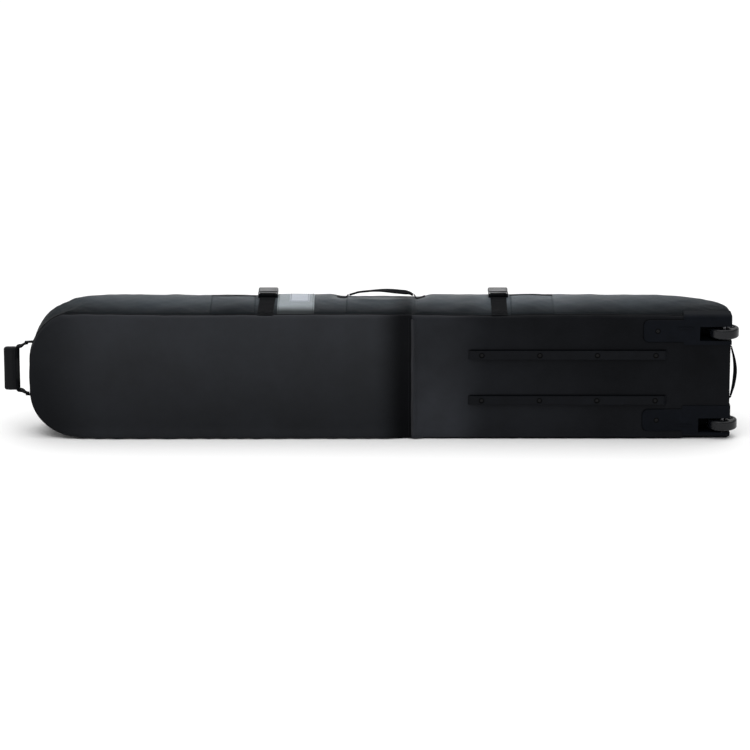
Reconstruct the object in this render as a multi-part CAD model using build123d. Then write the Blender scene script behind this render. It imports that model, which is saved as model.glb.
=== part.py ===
from build123d import *
import os

# Snowboard travel bag lying on one long side. Millimetres, +Z up.
# X runs from the rounded nose (-X) to the wheel end (+X), the skid side faces -Y, the lid faces +Y.

# overall body
HALF_LENGTH = 840.0
HALF_DEPTH = 100.0
CREST_Z = 315.0
SHOULDER_Z = 304.0
FOOT_FLAT_Y = 84.0
FOOT_RISE = 12.0
REACH = 1200.0

# rounding of the outline
NOSE_X = -701.0
NOSE_RX = 139.0
NOSE_LOW_Z = 120.0
NOSE_HIGH_Z = 187.0
TAIL_CORNER = 13.0
BASE_EDGE_R = 10.5
LID_EDGE_R = 24.0

# taper of the depth towards both ends
NOSE_TAPER_X = -600.0
NOSE_TIP_Y = 5.0
TAIL_TAPER_X = 650.0
TAIL_TIP_Y = -60.0

# wall build-up
FABRIC = 2.0
WALL = 8.0
BOARD = 2.5
BASE_SEAM_Y = -90.0
FOAM_SEAM_Y = -92.0
FOLD_X = 76.0
UPPER_LOWER_Z = 150.0
TAIL_SEAM_X = 816.0

# zipped opening on the lid side
OPENING_END_X = 778.0
OPENING_LOW_Z = 22.0
OPENING_HIGH_Z = 286.0
OPENING_NOSE_R = 100.0
OPENING_TAIL_R = 45.0
TAPE_SHELL = 6.5
TAPE_LID_START = 7.5
TAPE_LID_END = 14.0
HINGE_SIDE_Z = 40.0

# skid rails
SKID_X0, SKID_X1 = 211.0, 689.0
SKID_WIDTH = 22.0
SKID_PROUD = 8.0
SKID_Z = (97.0, 209.0)
SKID_SCREW_X = (244.0, 383.0, 521.0, 661.0)
SCREW_HEAD_R = 4.2
SCREW_SHANK_R = 1.9
SCREW_HEAD = 2.4
SCREW_LENGTH = 20.0

# wheels and their housings
WHEEL_X, WHEEL_Y = 825.0, -78.0
WHEEL_R = 36.0
WHEEL_WIDTH = 24.0
WHEEL_Z = {"upper": 261.0, "lower": 34.0}
RIM_R = 27.0
BEARING_R = 11.0
BEARING_W = 7.0
AXLE_R = 4.0
AXLE_PLAY = 0.05
AXLE_LENGTH = 43.0
SLOT_X0 = 766.0
SLOT_HALF = 17.5
SLOT_WALL = 4.0
SLOT_BACK_Y = -36.0
HOUSING_X0 = 727.0
HOUSING_PROUD = 2.4
HOUSING_WRAP_Y = -74.0
HOUSING_Z = {"upper": (234.0, 330.0), "lower": (0.0, 83.0)}
FINGER_X0 = 631.0
FINGER_WIDTH = 54.0
FINGER_THICK = 3.0
FINGER_Z = {"upper": 268.0, "lower": 47.0}
RIB_X = (713.0, 749.0)
RIB_Z = {"upper": 276.0, "lower": 35.0}
HOUSING_SCREW_X = 665.0

# webbing and trim on the upper side
WEBBING = 1.6
STRAP_WIDTH = 38.0
STRAP_X = {"nose": -271.0, "tail": 286.5}
BAND_X = (-247.0, -158.0)
LABEL_X = (-218.0, -170.0)
POCKET_X = {"nose": (-408.0, -300.0), "tail": (314.0, 418.0)}
PATCH_X = (-82.0, 88.0)

# side-release buckles
BUCKLE_Z = (317.2, 329.2)
SOCKET_Y = (50.0, 90.0)
PLUG_Y = (28.0, 48.0)
PRONG_END_Y = 78.0
BUCKLE_HALF = 24.0

# handles
CARRY_X = (-74.0, 80.0)
CARRY_Y = 60.0
CARRY_AXIS_Z = 320.0
CARRY_TOP_Z = 335.0
TAIL_HANDLE_Z = (102.0, 218.0)
TAIL_HANDLE_Y = -72.0
TAIL_AXIS_X = 845.0
TAIL_HANDLE_END_X = 856.5
HAUL_AXIS_X = -850.0
HAUL_Y = -65.0
HAUL_Z = (105.0, 229.0)
GRIP_X = (-905.0, -867.0)
GRIP_Z = (115.0, 219.0)

# zip sliders
ZIP_Z = 279.0
SLIDER_X = {"nose": -36.0, "tail": 36.0}
ZIP_PIN_Y = 106.2
ZIP_PIN_R = 1.2

# inner hold-down straps
INNER_STRAP_X = (-350.0, 330.0)


def block(x0, x1, y0, y1, z0, z1):
    """Axis-aligned box given by its six faces."""
    middle = ((x0 + x1) / 2, (y0 + y1) / 2, (z0 + z1) / 2)
    return Pos(*middle) * Box(x1 - x0, y1 - y0, z1 - z0)


def rod(axis, radius, length, centre):
    """Cylinder along X, Y or Z about a centre point."""
    turn = {"X": Rot(0, 90, 0), "Y": Rot(90, 0, 0), "Z": Rot(0, 0, 0)}[axis]
    return Pos(*centre) * turn * Cylinder(radius, length)


def outline_prism(x0, x1, z0, z1, nose_rx, nose_rz_low, nose_rz_high, tail_r):
    """Plan outline of the bag, rounded at the nose, swept through the depth."""
    with BuildPart() as prism:
        with BuildSketch(Plane.XZ):
            with BuildLine():
                low = EllipticalCenterArc(
                    (x0 + nose_rx, z0 + nose_rz_low), nose_rx, nose_rz_low, 180, arc_size=90
                )
                high = EllipticalCenterArc(
                    (x0 + nose_rx, z1 - nose_rz_high), nose_rx, nose_rz_high, 90, arc_size=90
                )
                Line(low @ 0, high @ 1)
                Line(low @ 1, (x1 - tail_r, z0))
                corner = CenterArc((x1 - tail_r, z0 + tail_r), tail_r, 270, 90)
                Line(corner @ 1, (x1, z1 - tail_r))
                corner_high = CenterArc((x1 - tail_r, z1 - tail_r), tail_r, 0, 90)
                Line(corner_high @ 1, high @ 0)
            make_face()
        extrude(amount=REACH, both=True)
    return prism.part


def body_outline(inset):
    return outline_prism(
        inset - HALF_LENGTH,
        HALF_LENGTH - inset,
        inset,
        CREST_Z - inset,
        NOSE_RX - inset,
        NOSE_LOW_Z - inset,
        CREST_Z - NOSE_HIGH_Z - inset,
        TAIL_CORNER - inset,
    )


def opening(inset):
    """Prism over the zipped opening, shrunk by the inset."""
    return outline_prism(
        inset - OPENING_END_X,
        OPENING_END_X - inset,
        OPENING_LOW_Z + inset,
        OPENING_HIGH_Z - inset,
        OPENING_NOSE_R - inset,
        OPENING_NOSE_R - inset,
        OPENING_NOSE_R - inset,
        OPENING_TAIL_R - inset,
    )


def taper_prism(inset):
    """Side view: full depth in the middle, rounding down to thin ends."""
    nose_rx = NOSE_TAPER_X + HALF_LENGTH - inset
    nose_ry = HALF_DEPTH - NOSE_TIP_Y - inset
    tail_rx = HALF_LENGTH - TAIL_TAPER_X - inset
    tail_ry = HALF_DEPTH - TAIL_TIP_Y - inset
    base = inset - HALF_DEPTH
    with BuildPart() as prism:
        with BuildSketch(Plane.XY):
            with BuildLine():
                nose = EllipticalCenterArc((NOSE_TAPER_X, NOSE_TIP_Y), nose_rx, nose_ry, 90, arc_size=90)
                tail = EllipticalCenterArc((TAIL_TAPER_X, TAIL_TIP_Y), tail_rx, tail_ry, 0, arc_size=90)
                Line(nose @ 0, tail @ 1)
                Line(nose @ 1, (inset - HALF_LENGTH, base))
                Line((inset - HALF_LENGTH, base), (HALF_LENGTH - inset, base))
                Line((HALF_LENGTH - inset, base), tail @ 0)
            make_face()
        extrude(amount=REACH, both=True)
    return prism.part


def section_prism(inset):
    """Cross-section: flat foot, upright faces and a crowned upper side."""
    y = HALF_DEPTH - inset
    foot_y = FOOT_FLAT_Y - inset / 3
    foot_z = FOOT_RISE + inset / 2
    shoulder = SHOULDER_Z - inset
    with BuildPart() as prism:
        with BuildSketch(Plane.YZ):
            with BuildLine():
                Polyline((-y, shoulder), (-y, foot_z), (-foot_y, inset))
                Polyline((-foot_y, inset), (foot_y, inset), (y, foot_z), (y, shoulder))
                ThreePointArc((y, shoulder), (0, CREST_Z - inset), (-y, shoulder))
            make_face()
            base_corner = vertices().filter_by(lambda v: v.Y > UPPER_LOWER_Z).sort_by(Axis.X)[0]
            fillet(base_corner, BASE_EDGE_R - inset)
            lid_corner = vertices().filter_by(lambda v: v.Y > UPPER_LOWER_Z).sort_by(Axis.X)[-1]
            fillet(lid_corner, LID_EDGE_R - inset)
        extrude(amount=REACH, both=True)
    return prism.part


ENVELOPES = {}


def envelope(inset):
    """Solid body of the bag, shrunk by the inset (grown when negative)."""
    if inset not in ENVELOPES:
        ENVELOPES[inset] = body_outline(inset) & taper_prism(inset) & section_prism(inset)
    return ENVELOPES[inset]


def layer(outer, inner):
    """Skin between two insets."""
    return envelope(outer) - envelope(inner)


def on_top(outer, inner, x0, x1, y0, y1):
    """Piece of a skin lying on the upper side."""
    return layer(outer, inner) & block(x0, x1, y0, y1, UPPER_LOWER_Z, REACH)


def save(shape, node):
    export_step(shape, "parts/" + node + ".step")
    print(node, len(shape.solids()), round(shape.volume))


def wheel_slot(side):
    z = WHEEL_Z[side]
    return block(SLOT_X0, 900, -130, SLOT_BACK_Y, z - SLOT_HALF, z + SLOT_HALF)


def axle(side):
    return rod("Z", AXLE_R, AXLE_LENGTH, (WHEEL_X, WHEEL_Y, WHEEL_Z[side]))


def housing_block(side):
    """Corner block of the housing before it is hollowed."""
    z0, z1 = HOUSING_Z[side]
    corner = envelope(-HOUSING_PROUD) & block(HOUSING_X0, 900, -130, HOUSING_WRAP_Y, z0, z1)
    z = WHEEL_Z[side]
    half = SLOT_HALF + SLOT_WALL
    back = SLOT_BACK_Y + SLOT_WALL
    well = block(SLOT_X0 - SLOT_WALL, 832, HOUSING_WRAP_Y - 1, back, z - half, z + half)
    return corner + well


def housing_core(side):
    """Empty space inside the corner block, open towards the inside of the bag."""
    z0, z1 = HOUSING_Z[side]
    low, high = max(z0, WALL) + 3, min(z1, 301) - 3
    return block(HOUSING_X0 + 3, SLOT_X0 - SLOT_WALL, 3 - HALF_DEPTH, -40, low, high)


def finger(side):
    """Flat tongue of the housing screwed to the base."""
    z = FINGER_Z[side]
    half = FINGER_WIDTH / 2
    plate = block(FINGER_X0, HOUSING_X0, -HALF_DEPTH - FINGER_THICK, -HALF_DEPTH, z - half, z + half)
    ends = plate.edges().filter_by(Axis.Y).filter_by(lambda e: e.center().X < FINGER_X0 + 1)
    plate = fillet(ends, 14)
    rim = plate.faces().sort_by(Axis.Y)[0].edges().filter_by(lambda e: e.center().X < HOUSING_X0 - 1)
    return chamfer(rim, 1.2)


def rib(side):
    """Short raised rib on the outer face of the housing."""
    front = -HALF_DEPTH - FINGER_THICK
    return block(*RIB_X, front - 1.2, front + 0.8, RIB_Z[side] - 2, RIB_Z[side] + 2)


def screw(x, face_y, z):
    """Socket-head screw driven along +Y, the face of its head at face_y."""
    head = rod("Y", SCREW_HEAD_R, SCREW_HEAD, (x, face_y + SCREW_HEAD / 2, z))
    socket = Pos(x, face_y + 0.5, z) * Rot(90, 0, 0) * extrude(RegularPolygon(1.8, 6), 1.0, both=True)
    shank = rod("Y", SCREW_SHANK_R, SCREW_LENGTH, (x, face_y + SCREW_LENGTH / 2, z))
    return head + shank - socket


def screw_hole(x, face_y, z):
    """Counterbored hole for one screw, open towards -Y."""
    bore = rod("Y", SCREW_HEAD_R, 20, (x, face_y + SCREW_HEAD - 10, z))
    return bore + rod("Y", SCREW_SHANK_R, 60, (x, face_y, z))


def skid(z):
    """Skid rail with ramped ends and softened long edges."""
    top = -HALF_DEPTH - SKID_PROUD
    half = SKID_WIDTH / 2
    with BuildPart() as rail:
        with BuildSketch(Plane.XY):
            with BuildLine():
                Polyline(
                    (SKID_X0, -HALF_DEPTH),
                    (SKID_X0 + 5, -HALF_DEPTH - 4),
                    (SKID_X0 + 24, top),
                    (SKID_X1 - 8, top),
                    (SKID_X1, -HALF_DEPTH),
                    close=True,
                )
            make_face()
        extrude(amount=half, both=True)
    long_edges = rail.part.faces().filter_by(Axis.Y).sort_by(Axis.Y)[0].edges().filter_by(Axis.X)
    return Pos(0, 0, z) * fillet(long_edges, 2.5)


def wheel(side):
    """Tyre, hub and pair of bearings turning about Z."""
    z = WHEEL_Z[side]
    centre = (WHEEL_X, WHEEL_Y, z)
    half = WHEEL_WIDTH / 2
    tread = rod("Z", WHEEL_R, WHEEL_WIDTH, centre)
    tread = fillet(tread.edges().filter_by(GeomType.CIRCLE), 5)
    tyre = tread - rod("Z", RIM_R, WHEEL_WIDTH, centre)
    hub = rod("Z", RIM_R, WHEEL_WIDTH - 4, centre)
    hub -= rod("Z", BEARING_R, WHEEL_WIDTH, centre)
    hub += rod("Z", BEARING_R, 6, centre) - rod("Z", 6, 6, centre)
    for turn in range(6):
        for end in (-1, 1):
            pocket = Pos(WHEEL_X, WHEEL_Y, z + end * (half - 5)) * Rot(0, 0, 60 * turn) * Pos(19, 0, 0)
            hub -= pocket * Cylinder(5, 7)
    bearings = []
    for end in (-1, 1):
        spot = (WHEEL_X, WHEEL_Y, z + end * (3 + BEARING_W / 2))
        bearings.append(rod("Z", BEARING_R, BEARING_W, spot) - rod("Z", AXLE_R + AXLE_PLAY, BEARING_W, spot))
    return tyre, hub, Compound(bearings)


def buckle_socket(x):
    """Female half of a side-release buckle with its mouth towards -Y."""
    z0, z1 = BUCKLE_Z
    body = block(x - BUCKLE_HALF, x + BUCKLE_HALF, SOCKET_Y[0], SOCKET_Y[1], z0, z1)
    body = fillet(body.edges().filter_by(Axis.Y), 4)
    mouth = block(x - 20, x + 20, SOCKET_Y[0] - 1, SOCKET_Y[0] + 31, z0 + 2.2, z1 - 2.2)
    windows = block(x - 30, x + 30, SOCKET_Y[0] + 14, SOCKET_Y[0] + 28, z0 + 2.2, z1 - 2.2)
    return body - mouth - windows


def buckle_plug(x):
    """Male half with a webbing bar, a centre tongue and two side prongs."""
    z0, z1 = BUCKLE_Z
    frame = block(x - BUCKLE_HALF, x + BUCKLE_HALF, PLUG_Y[0], PLUG_Y[1], z0 + 1, z1 - 1)
    frame = fillet(frame.edges().filter_by(Axis.Z), 4)
    frame -= block(x - 19.5, x + 19.5, PLUG_Y[0] + 5, PLUG_Y[0] + 9, z0, z1)
    tongue = block(x - 4, x + 4, PLUG_Y[1], PRONG_END_Y, z0 + 3, z1 - 3)
    plug = frame + tongue
    for end in (-1, 1):
        plug += block(x + end * 15.5 - 4, x + end * 15.5 + 4, PLUG_Y[1], PRONG_END_Y, z0 + 3, z1 - 3)
    return plug


def lid_strap(x):
    """Webbing sewn to the lid, over the top edge and up to the buckle socket."""
    half = STRAP_WIDTH / 2
    run = layer(-2 - WEBBING, -2.0) & block(x - half, x + half, 84, 130, 205, REACH)
    sewn = layer(-2 - WEBBING, 0) & block(x - half, x + half, 90, 130, 205, 232)
    lug = block(x - half, x + half, 90, 90 + 2.4, 270, BUCKLE_Z[0] + 6)
    return run + sewn + (lug - envelope(-2.0))


def zip_slider(x):
    """Slider wing on both tapes with the pin its pull turns on."""
    wing = block(x - 9, x + 9, HALF_DEPTH + 0.4, HALF_DEPTH + 3.4, ZIP_Z - 6, ZIP_Z + 6)
    wing = fillet(wing.edges().filter_by(Axis.Y), 3)
    pin = rod("Z", ZIP_PIN_R, 9, (x, ZIP_PIN_Y, ZIP_Z))
    for z in (ZIP_Z - 3.8, ZIP_Z + 3.8):
        pin += block(x - 1.6, x + 1.6, HALF_DEPTH + 3.3, ZIP_PIN_Y + 1.4, z - 0.8, z + 0.8)
    return wing + pin


def zip_pull(x, way):
    """Moulded pull tab, eye on the slider pin, lying along X."""
    eye = rod("Z", 2.5, 5, (x, ZIP_PIN_Y, ZIP_Z))
    tab = block(x, x + 26, ZIP_PIN_Y - 1.2, ZIP_PIN_Y + 1.2, ZIP_Z - 4.5, ZIP_Z + 4.5)
    tab -= block(x - 3, x + 4, 100, 112, ZIP_Z + 2.5, ZIP_Z + 6)
    tab -= block(x - 3, x + 4, 100, 112, ZIP_Z - 6, ZIP_Z - 2.5)
    tab = fillet(tab.edges().filter_by(Axis.Y).filter_by(lambda e: e.center().X > x + 20), 2.5)
    pull = eye + tab - rod("Z", ZIP_PIN_R + AXLE_PLAY, 12, (x, ZIP_PIN_Y, ZIP_Z))
    return pull if way > 0 else pull.mirror(Plane(origin=(x, 0, 0), z_dir=(1, 0, 0)))


def carry_handle():
    """Webbing arch, folded narrow at both feet."""
    x0, x1 = CARRY_X
    foot = CARRY_AXIS_Z + 1.5
    top = CARRY_TOP_Z
    side = [(x0, foot - 3), (x0 + 5, foot - 3), (x0 + 28, top - 4), (x1 - 28, top - 4), (x1 - 5, foot - 3)]
    side += [(x1, foot - 3), (x1, foot), (x1 - 26, top), (x0 + 26, top), (x0, foot)]
    plan = [(x0, -6), (x0 + 12, -6), (x0 + 30, -12), (x1 - 30, -12), (x1 - 12, -6), (x1, -6)]
    plan += [(x, -y) for x, y in reversed(plan)]
    arch = extrude(Plane.XZ * make_face(Polyline(*side, close=True)), 200, both=True)
    width = extrude(make_face(Pos(0, CARRY_Y, 0) * Polyline(*plan, close=True)), 600)
    return arch & width


def carry_anchors():
    """Folded webbing stubs that hold the feet of the carry handle."""
    x0, x1 = CARRY_X
    stubs = [block(x0 - 11, x0 - 0.4, CARRY_Y - 6, CARRY_Y + 6, 300, CARRY_AXIS_Z + 1.5)]
    stubs.append(block(x1 + 0.4, x1 + 11, CARRY_Y - 6, CARRY_Y + 6, 300, CARRY_AXIS_Z + 1.5))
    return Compound([stub - envelope(-1.0) for stub in stubs])


def tail_handle():
    """Webbing arch between the wheels, folded narrow at both feet."""
    z0, z1 = TAIL_HANDLE_Z
    foot = TAIL_AXIS_X + 1.5
    end = TAIL_HANDLE_END_X
    side = [(foot - 3, z0), (foot - 3, z0 + 4), (end - 3, z0 + 22), (end - 3, z1 - 22), (foot - 3, z1 - 4)]
    side += [(foot - 3, z1), (foot, z1), (end, z1 - 20), (end, z0 + 20), (foot, z0)]
    front = [(-6, z0), (-6, z0 + 10), (-12, z0 + 26), (-12, z1 - 26), (-6, z1 - 10), (-6, z1)]
    front += [(-y, z) for y, z in reversed(front)]
    arch = extrude(Plane.XZ * make_face(Polyline(*side, close=True)), 200, both=True)
    width = extrude(Plane.YZ * make_face(Pos(TAIL_HANDLE_Y, 0, 0) * Polyline(*front, close=True)), 1000)
    return arch & width


def tail_anchors():
    """Webbing stubs that hold the feet of the tail handle."""
    z0, z1 = TAIL_HANDLE_Z
    y0, y1 = TAIL_HANDLE_Y - 6, TAIL_HANDLE_Y + 6
    low = block(820, TAIL_AXIS_X + 1.5, y0, y1, z0 - 9, z0 - 0.4)
    high = block(820, TAIL_AXIS_X + 1.5, y0, y1, z1 + 0.4, z1 + 9)
    return Compound([low - envelope(0), high - envelope(0)])


def haul_webbing():
    """U of webbing with round roots that turn on the nose anchors."""
    low, high = HAUL_Z
    middle = (GRIP_X[0] + GRIP_X[1]) / 2
    loop = block(middle - 2, middle + 2, HAUL_Y - 9, HAUL_Y + 9, low - 2, high + 2)
    for z in HAUL_Z:
        loop += block(middle, HAUL_AXIS_X, HAUL_Y - 9, HAUL_Y + 9, z - 2, z + 2)
        loop += rod("Z", 9, 4, (HAUL_AXIS_X, HAUL_Y, z))
    return loop


def haul_grip():
    """Padded wrap round the outer run of the haul loop."""
    pad = block(GRIP_X[0], GRIP_X[1], HAUL_Y - 11, HAUL_Y + 11, GRIP_Z[0], GRIP_Z[1])
    pad = fillet(pad.edges().filter_by(Axis.Z), 9)
    pad = fillet(pad.faces().sort_by(Axis.Z)[-1].edges(), 3)
    pad = fillet(pad.faces().sort_by(Axis.Z)[0].edges(), 3)
    return pad - haul_webbing()


def haul_anchors():
    """Webbing stubs on the nose, one beside each leg of the haul loop."""
    low, high = HAUL_Z
    y0, y1 = HAUL_Y - 7, HAUL_Y + 7
    stubs = [block(HAUL_AXIS_X - 6, -780, y0, y1, low - 13, low - 2.5)]
    stubs.append(block(HAUL_AXIS_X - 6, -780, y0, y1, high + 2.5, high + 13))
    return Compound([stub - envelope(0) for stub in stubs])


# housings are made first because every wall layer is cut to fit round them
housing_blocks = {side: housing_block(side) for side in WHEEL_Z}
slots = {side: wheel_slot(side) for side in WHEEL_Z}
corner_cut = housing_blocks["upper"] + housing_blocks["lower"] + slots["upper"] + slots["lower"]
corner_cut += housing_core("upper") + housing_core("lower")

skid_screw_y = 1 - HALF_DEPTH - SKID_PROUD
housing_screw_y = 0.4 - HALF_DEPTH - FINGER_THICK
skid_spots = [(x, skid_screw_y, z) for z in SKID_Z for x in SKID_SCREW_X]
housing_spots = [(HOUSING_SCREW_X, housing_screw_y, z) for z in FINGER_Z.values()]
skid_screws = Compound([screw(*spot) for spot in skid_spots])
housing_screws = Compound([screw(*spot) for spot in housing_spots])
skid_holes = Compound([screw_hole(*spot) for spot in skid_spots])
housing_holes = Compound([screw_hole(*spot) for spot in housing_spots])
all_spots = skid_spots + housing_spots
screw_shanks = Compound([rod("Y", SCREW_SHANK_R, 40, (x, -HALF_DEPTH, z)) for x, y, z in all_spots])

base_slab = block(-REACH, REACH, -200, BASE_SEAM_Y, -200, 600)
foam_slab = block(-REACH, REACH, -200, FOAM_SEAM_Y, -200, 600)
nose_half = block(-REACH, FOLD_X, -200, 200, -200, 600)
opening_shell = opening(0)
hinge_side = block(-OPENING_END_X, OPENING_END_X, 0, 200, 0, HINGE_SIDE_Z)
lid_side = block(-REACH, REACH, -50, 200, -200, 600)
upper_zone = block(NOSE_X, TAIL_SEAM_X, -200, 200, UPPER_LOWER_Z, 600)
lower_zone = block(NOSE_X, TAIL_SEAM_X, -200, 200, -200, UPPER_LOWER_Z)
nose_zone = block(-REACH, NOSE_X, -200, 200, -200, 600)
tail_zone = block(TAIL_SEAM_X, REACH, -200, 200, -200, 600)

# outer fabric
skin = layer(0, FABRIC)
base_skin = skin & base_slab
hinge_rim = (opening_shell - opening(TAPE_SHELL)) & hinge_side
wall_skin = skin - base_slab - (opening_shell - hinge_rim)
save(base_skin & nose_half, "base_fabric_nose")
save((base_skin - nose_half) - corner_cut - screw_shanks, "base_fabric_tail")
save((wall_skin & upper_zone) - corner_cut, "upper_gusset")
save((wall_skin & lower_zone) - corner_cut, "lower_gusset")
save(wall_skin & nose_zone, "nose_gusset")
save((wall_skin & tail_zone) - corner_cut, "tail_gusset")

# padding and stiffeners
padding = layer(FABRIC, WALL)
wall_padding = padding - foam_slab - opening_shell
save(padding & foam_slab & nose_half, "base_foam_nose")
board_zone = block(FOLD_X + 8, 722, FABRIC - HALF_DEPTH, FABRIC - HALF_DEPTH + BOARD, -200, 600)
foam_zone = block(FOLD_X + 8, 722, FABRIC - HALF_DEPTH + BOARD, FOAM_SEAM_Y, -200, 600)
save((envelope(FABRIC) & board_zone) - screw_shanks, "base_stiffener_board")
save((envelope(FABRIC) & foam_zone) - screw_shanks, "base_foam_tail")
save((wall_padding & upper_zone) - corner_cut, "upper_gusset_foam")
save((wall_padding & lower_zone) - corner_cut, "lower_gusset_foam")
save(wall_padding & nose_zone, "nose_foam")
tail_plate = layer(FABRIC, FABRIC + 3) - foam_slab - opening_shell
save((tail_plate & tail_zone) - corner_cut, "tail_stiffener")

# seams and trim
piping_zone = block(-REACH, HOUSING_X0 - 1, BASE_SEAM_Y - 3, BASE_SEAM_Y, -200, 600)
save(layer(-1.8, 0) & piping_zone, "base_piping")
save(layer(-1.2, 0) & block(FOLD_X - 4, FOLD_X + 4, -200, BASE_SEAM_Y - 4, 20, 296), "fold_binding")
save(on_top(-0.8, 0, *BAND_X, -88, 84), "grey_band")
save(on_top(-1.4, -0.8, *LABEL_X, 10, 70), "blank_label")
save(on_top(-2.0, 0, *POCKET_X["nose"], -76, 72), "nose_stow_pocket")
save(on_top(-2.0, 0, *POCKET_X["tail"], -76, 72), "tail_stow_pocket")
save(on_top(-1.0, 0, *PATCH_X, -88, 84), "handle_patch")
for end, x in STRAP_X.items():
    save(on_top(-WEBBING, 0, x - STRAP_WIDTH / 2, x + STRAP_WIDTH / 2, -89, 44), end + "_gusset_strap")

# skids, wheels and housings
for side, z in zip(("lower", "upper"), SKID_Z):
    save(skid(z) - skid_holes, side + "_skid_rail")
save(skid_screws, "skid_screws")
save(housing_screws, "housing_screws")
for side in WHEEL_Z:
    housing = housing_blocks[side] + finger(side) + rib(side) - housing_core(side) - slots[side] - axle(side)
    save(housing - housing_holes, side + "_wheel_housing")
    tyre, hub, bearings = wheel(side)
    save(tyre, side + "_tyre")
    save(hub, side + "_hub")
    save(bearings, side + "_bearings")
save(Compound([axle("upper"), axle("lower")]), "wheel_axles")

# lid and its zip
zip_ring = (opening_shell - opening(TAPE_SHELL)) - hinge_side
save(skin & zip_ring & lid_side, "zip_tape_shell")
lid_opening = opening(TAPE_LID_START)
lid_ring = lid_opening - opening(TAPE_LID_END) - hinge_side
save(skin & lid_ring & lid_side, "zip_tape_lid")
save(skin & (lid_opening - lid_ring) & lid_side, "lid_fabric")
save(padding & opening(TAPE_LID_END + 2) & lid_side, "lid_foam")
for end, x in STRAP_X.items():
    save(lid_strap(x), end + "_lid_strap")
    save(buckle_socket(x), end + "_buckle_socket")
    save(buckle_plug(x), end + "_buckle_plug")
for end, way in (("nose", 1), ("tail", -1)):
    save(zip_slider(SLIDER_X[end]), end + "_zip_slider")
    save(zip_pull(SLIDER_X[end], way), end + "_zip_pull")

# handles
save(carry_handle(), "carry_handle")
save(carry_anchors(), "carry_handle_anchors")
save(tail_handle(), "tail_handle")
save(tail_anchors(), "tail_handle_anchors")
save(haul_webbing(), "haul_webbing")
save(haul_grip(), "haul_grip")
save(haul_anchors(), "haul_anchors")

# hold-down straps on the floor of the bag
inner_straps = [block(x - 12.5, x + 12.5, FOAM_SEAM_Y, FOAM_SEAM_Y + 1.4, 24, 290) for x in INNER_STRAP_X]
save(Compound(inner_straps), "inner_straps")
inner_buckles = []
for x in INNER_STRAP_X:
    frame = block(x - 18, x + 18, FOAM_SEAM_Y + 1.4, FOAM_SEAM_Y + 6.4, 140, 172)
    frame -= block(x - 13, x + 13, -95, -80, 146, 151)
    frame -= block(x - 13, x + 13, -95, -80, 161, 166)
    inner_buckles.append(frame)
save(Compound(inner_buckles), "inner_strap_buckles")
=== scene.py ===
import math

import bmesh
import bpy
import numpy as np
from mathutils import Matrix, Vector


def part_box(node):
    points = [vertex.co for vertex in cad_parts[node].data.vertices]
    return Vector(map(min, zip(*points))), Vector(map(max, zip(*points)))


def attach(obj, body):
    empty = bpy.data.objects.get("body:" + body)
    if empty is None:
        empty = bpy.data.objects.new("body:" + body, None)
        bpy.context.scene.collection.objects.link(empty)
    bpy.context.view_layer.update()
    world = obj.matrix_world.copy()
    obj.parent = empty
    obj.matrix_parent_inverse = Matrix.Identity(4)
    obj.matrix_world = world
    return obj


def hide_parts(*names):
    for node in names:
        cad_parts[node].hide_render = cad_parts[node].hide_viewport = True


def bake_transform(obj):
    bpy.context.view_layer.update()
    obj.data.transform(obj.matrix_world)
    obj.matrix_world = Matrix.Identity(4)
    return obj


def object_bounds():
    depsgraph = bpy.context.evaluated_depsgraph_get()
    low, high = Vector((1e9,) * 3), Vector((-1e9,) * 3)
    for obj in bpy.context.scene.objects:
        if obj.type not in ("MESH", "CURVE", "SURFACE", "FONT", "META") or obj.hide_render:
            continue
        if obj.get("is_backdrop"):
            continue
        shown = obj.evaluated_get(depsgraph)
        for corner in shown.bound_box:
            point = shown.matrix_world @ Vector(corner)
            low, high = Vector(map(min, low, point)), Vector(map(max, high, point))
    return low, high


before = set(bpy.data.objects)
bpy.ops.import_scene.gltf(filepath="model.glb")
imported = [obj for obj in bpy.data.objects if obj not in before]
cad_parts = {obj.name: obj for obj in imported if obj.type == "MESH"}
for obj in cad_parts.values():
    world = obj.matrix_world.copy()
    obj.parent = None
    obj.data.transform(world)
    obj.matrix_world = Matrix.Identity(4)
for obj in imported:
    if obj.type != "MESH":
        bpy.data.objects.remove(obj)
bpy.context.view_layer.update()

# ---------------------------------------------------------------- driving dimensions (metres)
HALF_LENGTH = 0.840
BASE_Y = -0.100
LID_Y = 0.100
CREST_Z = 0.315
SHOULDER_Z = 0.304
NOSE_X = -0.701
NOSE_LOW_Z = 0.120
NOSE_POWER = 2.2
NOSE_HIGH_Z = 0.187
TAIL_CORNER = 0.013
NOSE_TAPER_X = -0.600
NOSE_TIP_Y = 0.005
TAIL_TAPER_X = 0.650
TAIL_TIP_Y = -0.060
BASE_EDGE_R = 0.0105
LID_EDGE_R = 0.024
FOOT_Y = 0.009
FOOT_Z = 0.007
WALL = 0.008
SEAM_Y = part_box("base_piping")[1].y
FOLD_X = (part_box("fold_binding")[0].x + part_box("fold_binding")[1].x) / 2
OPENING_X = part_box("zip_tape_shell")[1].x
OPENING_Z = (0.022, 0.286)
OPENING_NOSE_R = 0.100
OPENING_TAIL_R = 0.045
HINGE_SIDE_Z = 0.040
TAPE_LINES = (0.0, 0.0065, 0.0075, 0.014)
HOUSING_X = 0.727
HOUSING_WRAP_Y = -0.074
SLOT_BACK_Y = -0.036
SLOT_X = 0.766
SLOT_HALF = 0.0175
FINGER_Z = {"lower": (0.0195, 0.0745), "upper": (0.2405, 0.2955)}
HOUSING_EDGE = {"lower": 0.083, "upper": 0.234}
WHEEL_Z = {}
for side in FINGER_Z:
    low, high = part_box(side + "_tyre")
    WHEEL_Z[side] = (low.z + high.z) / 2
WEBBING = 0.0016
STRAP_HALF = 0.019
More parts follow.
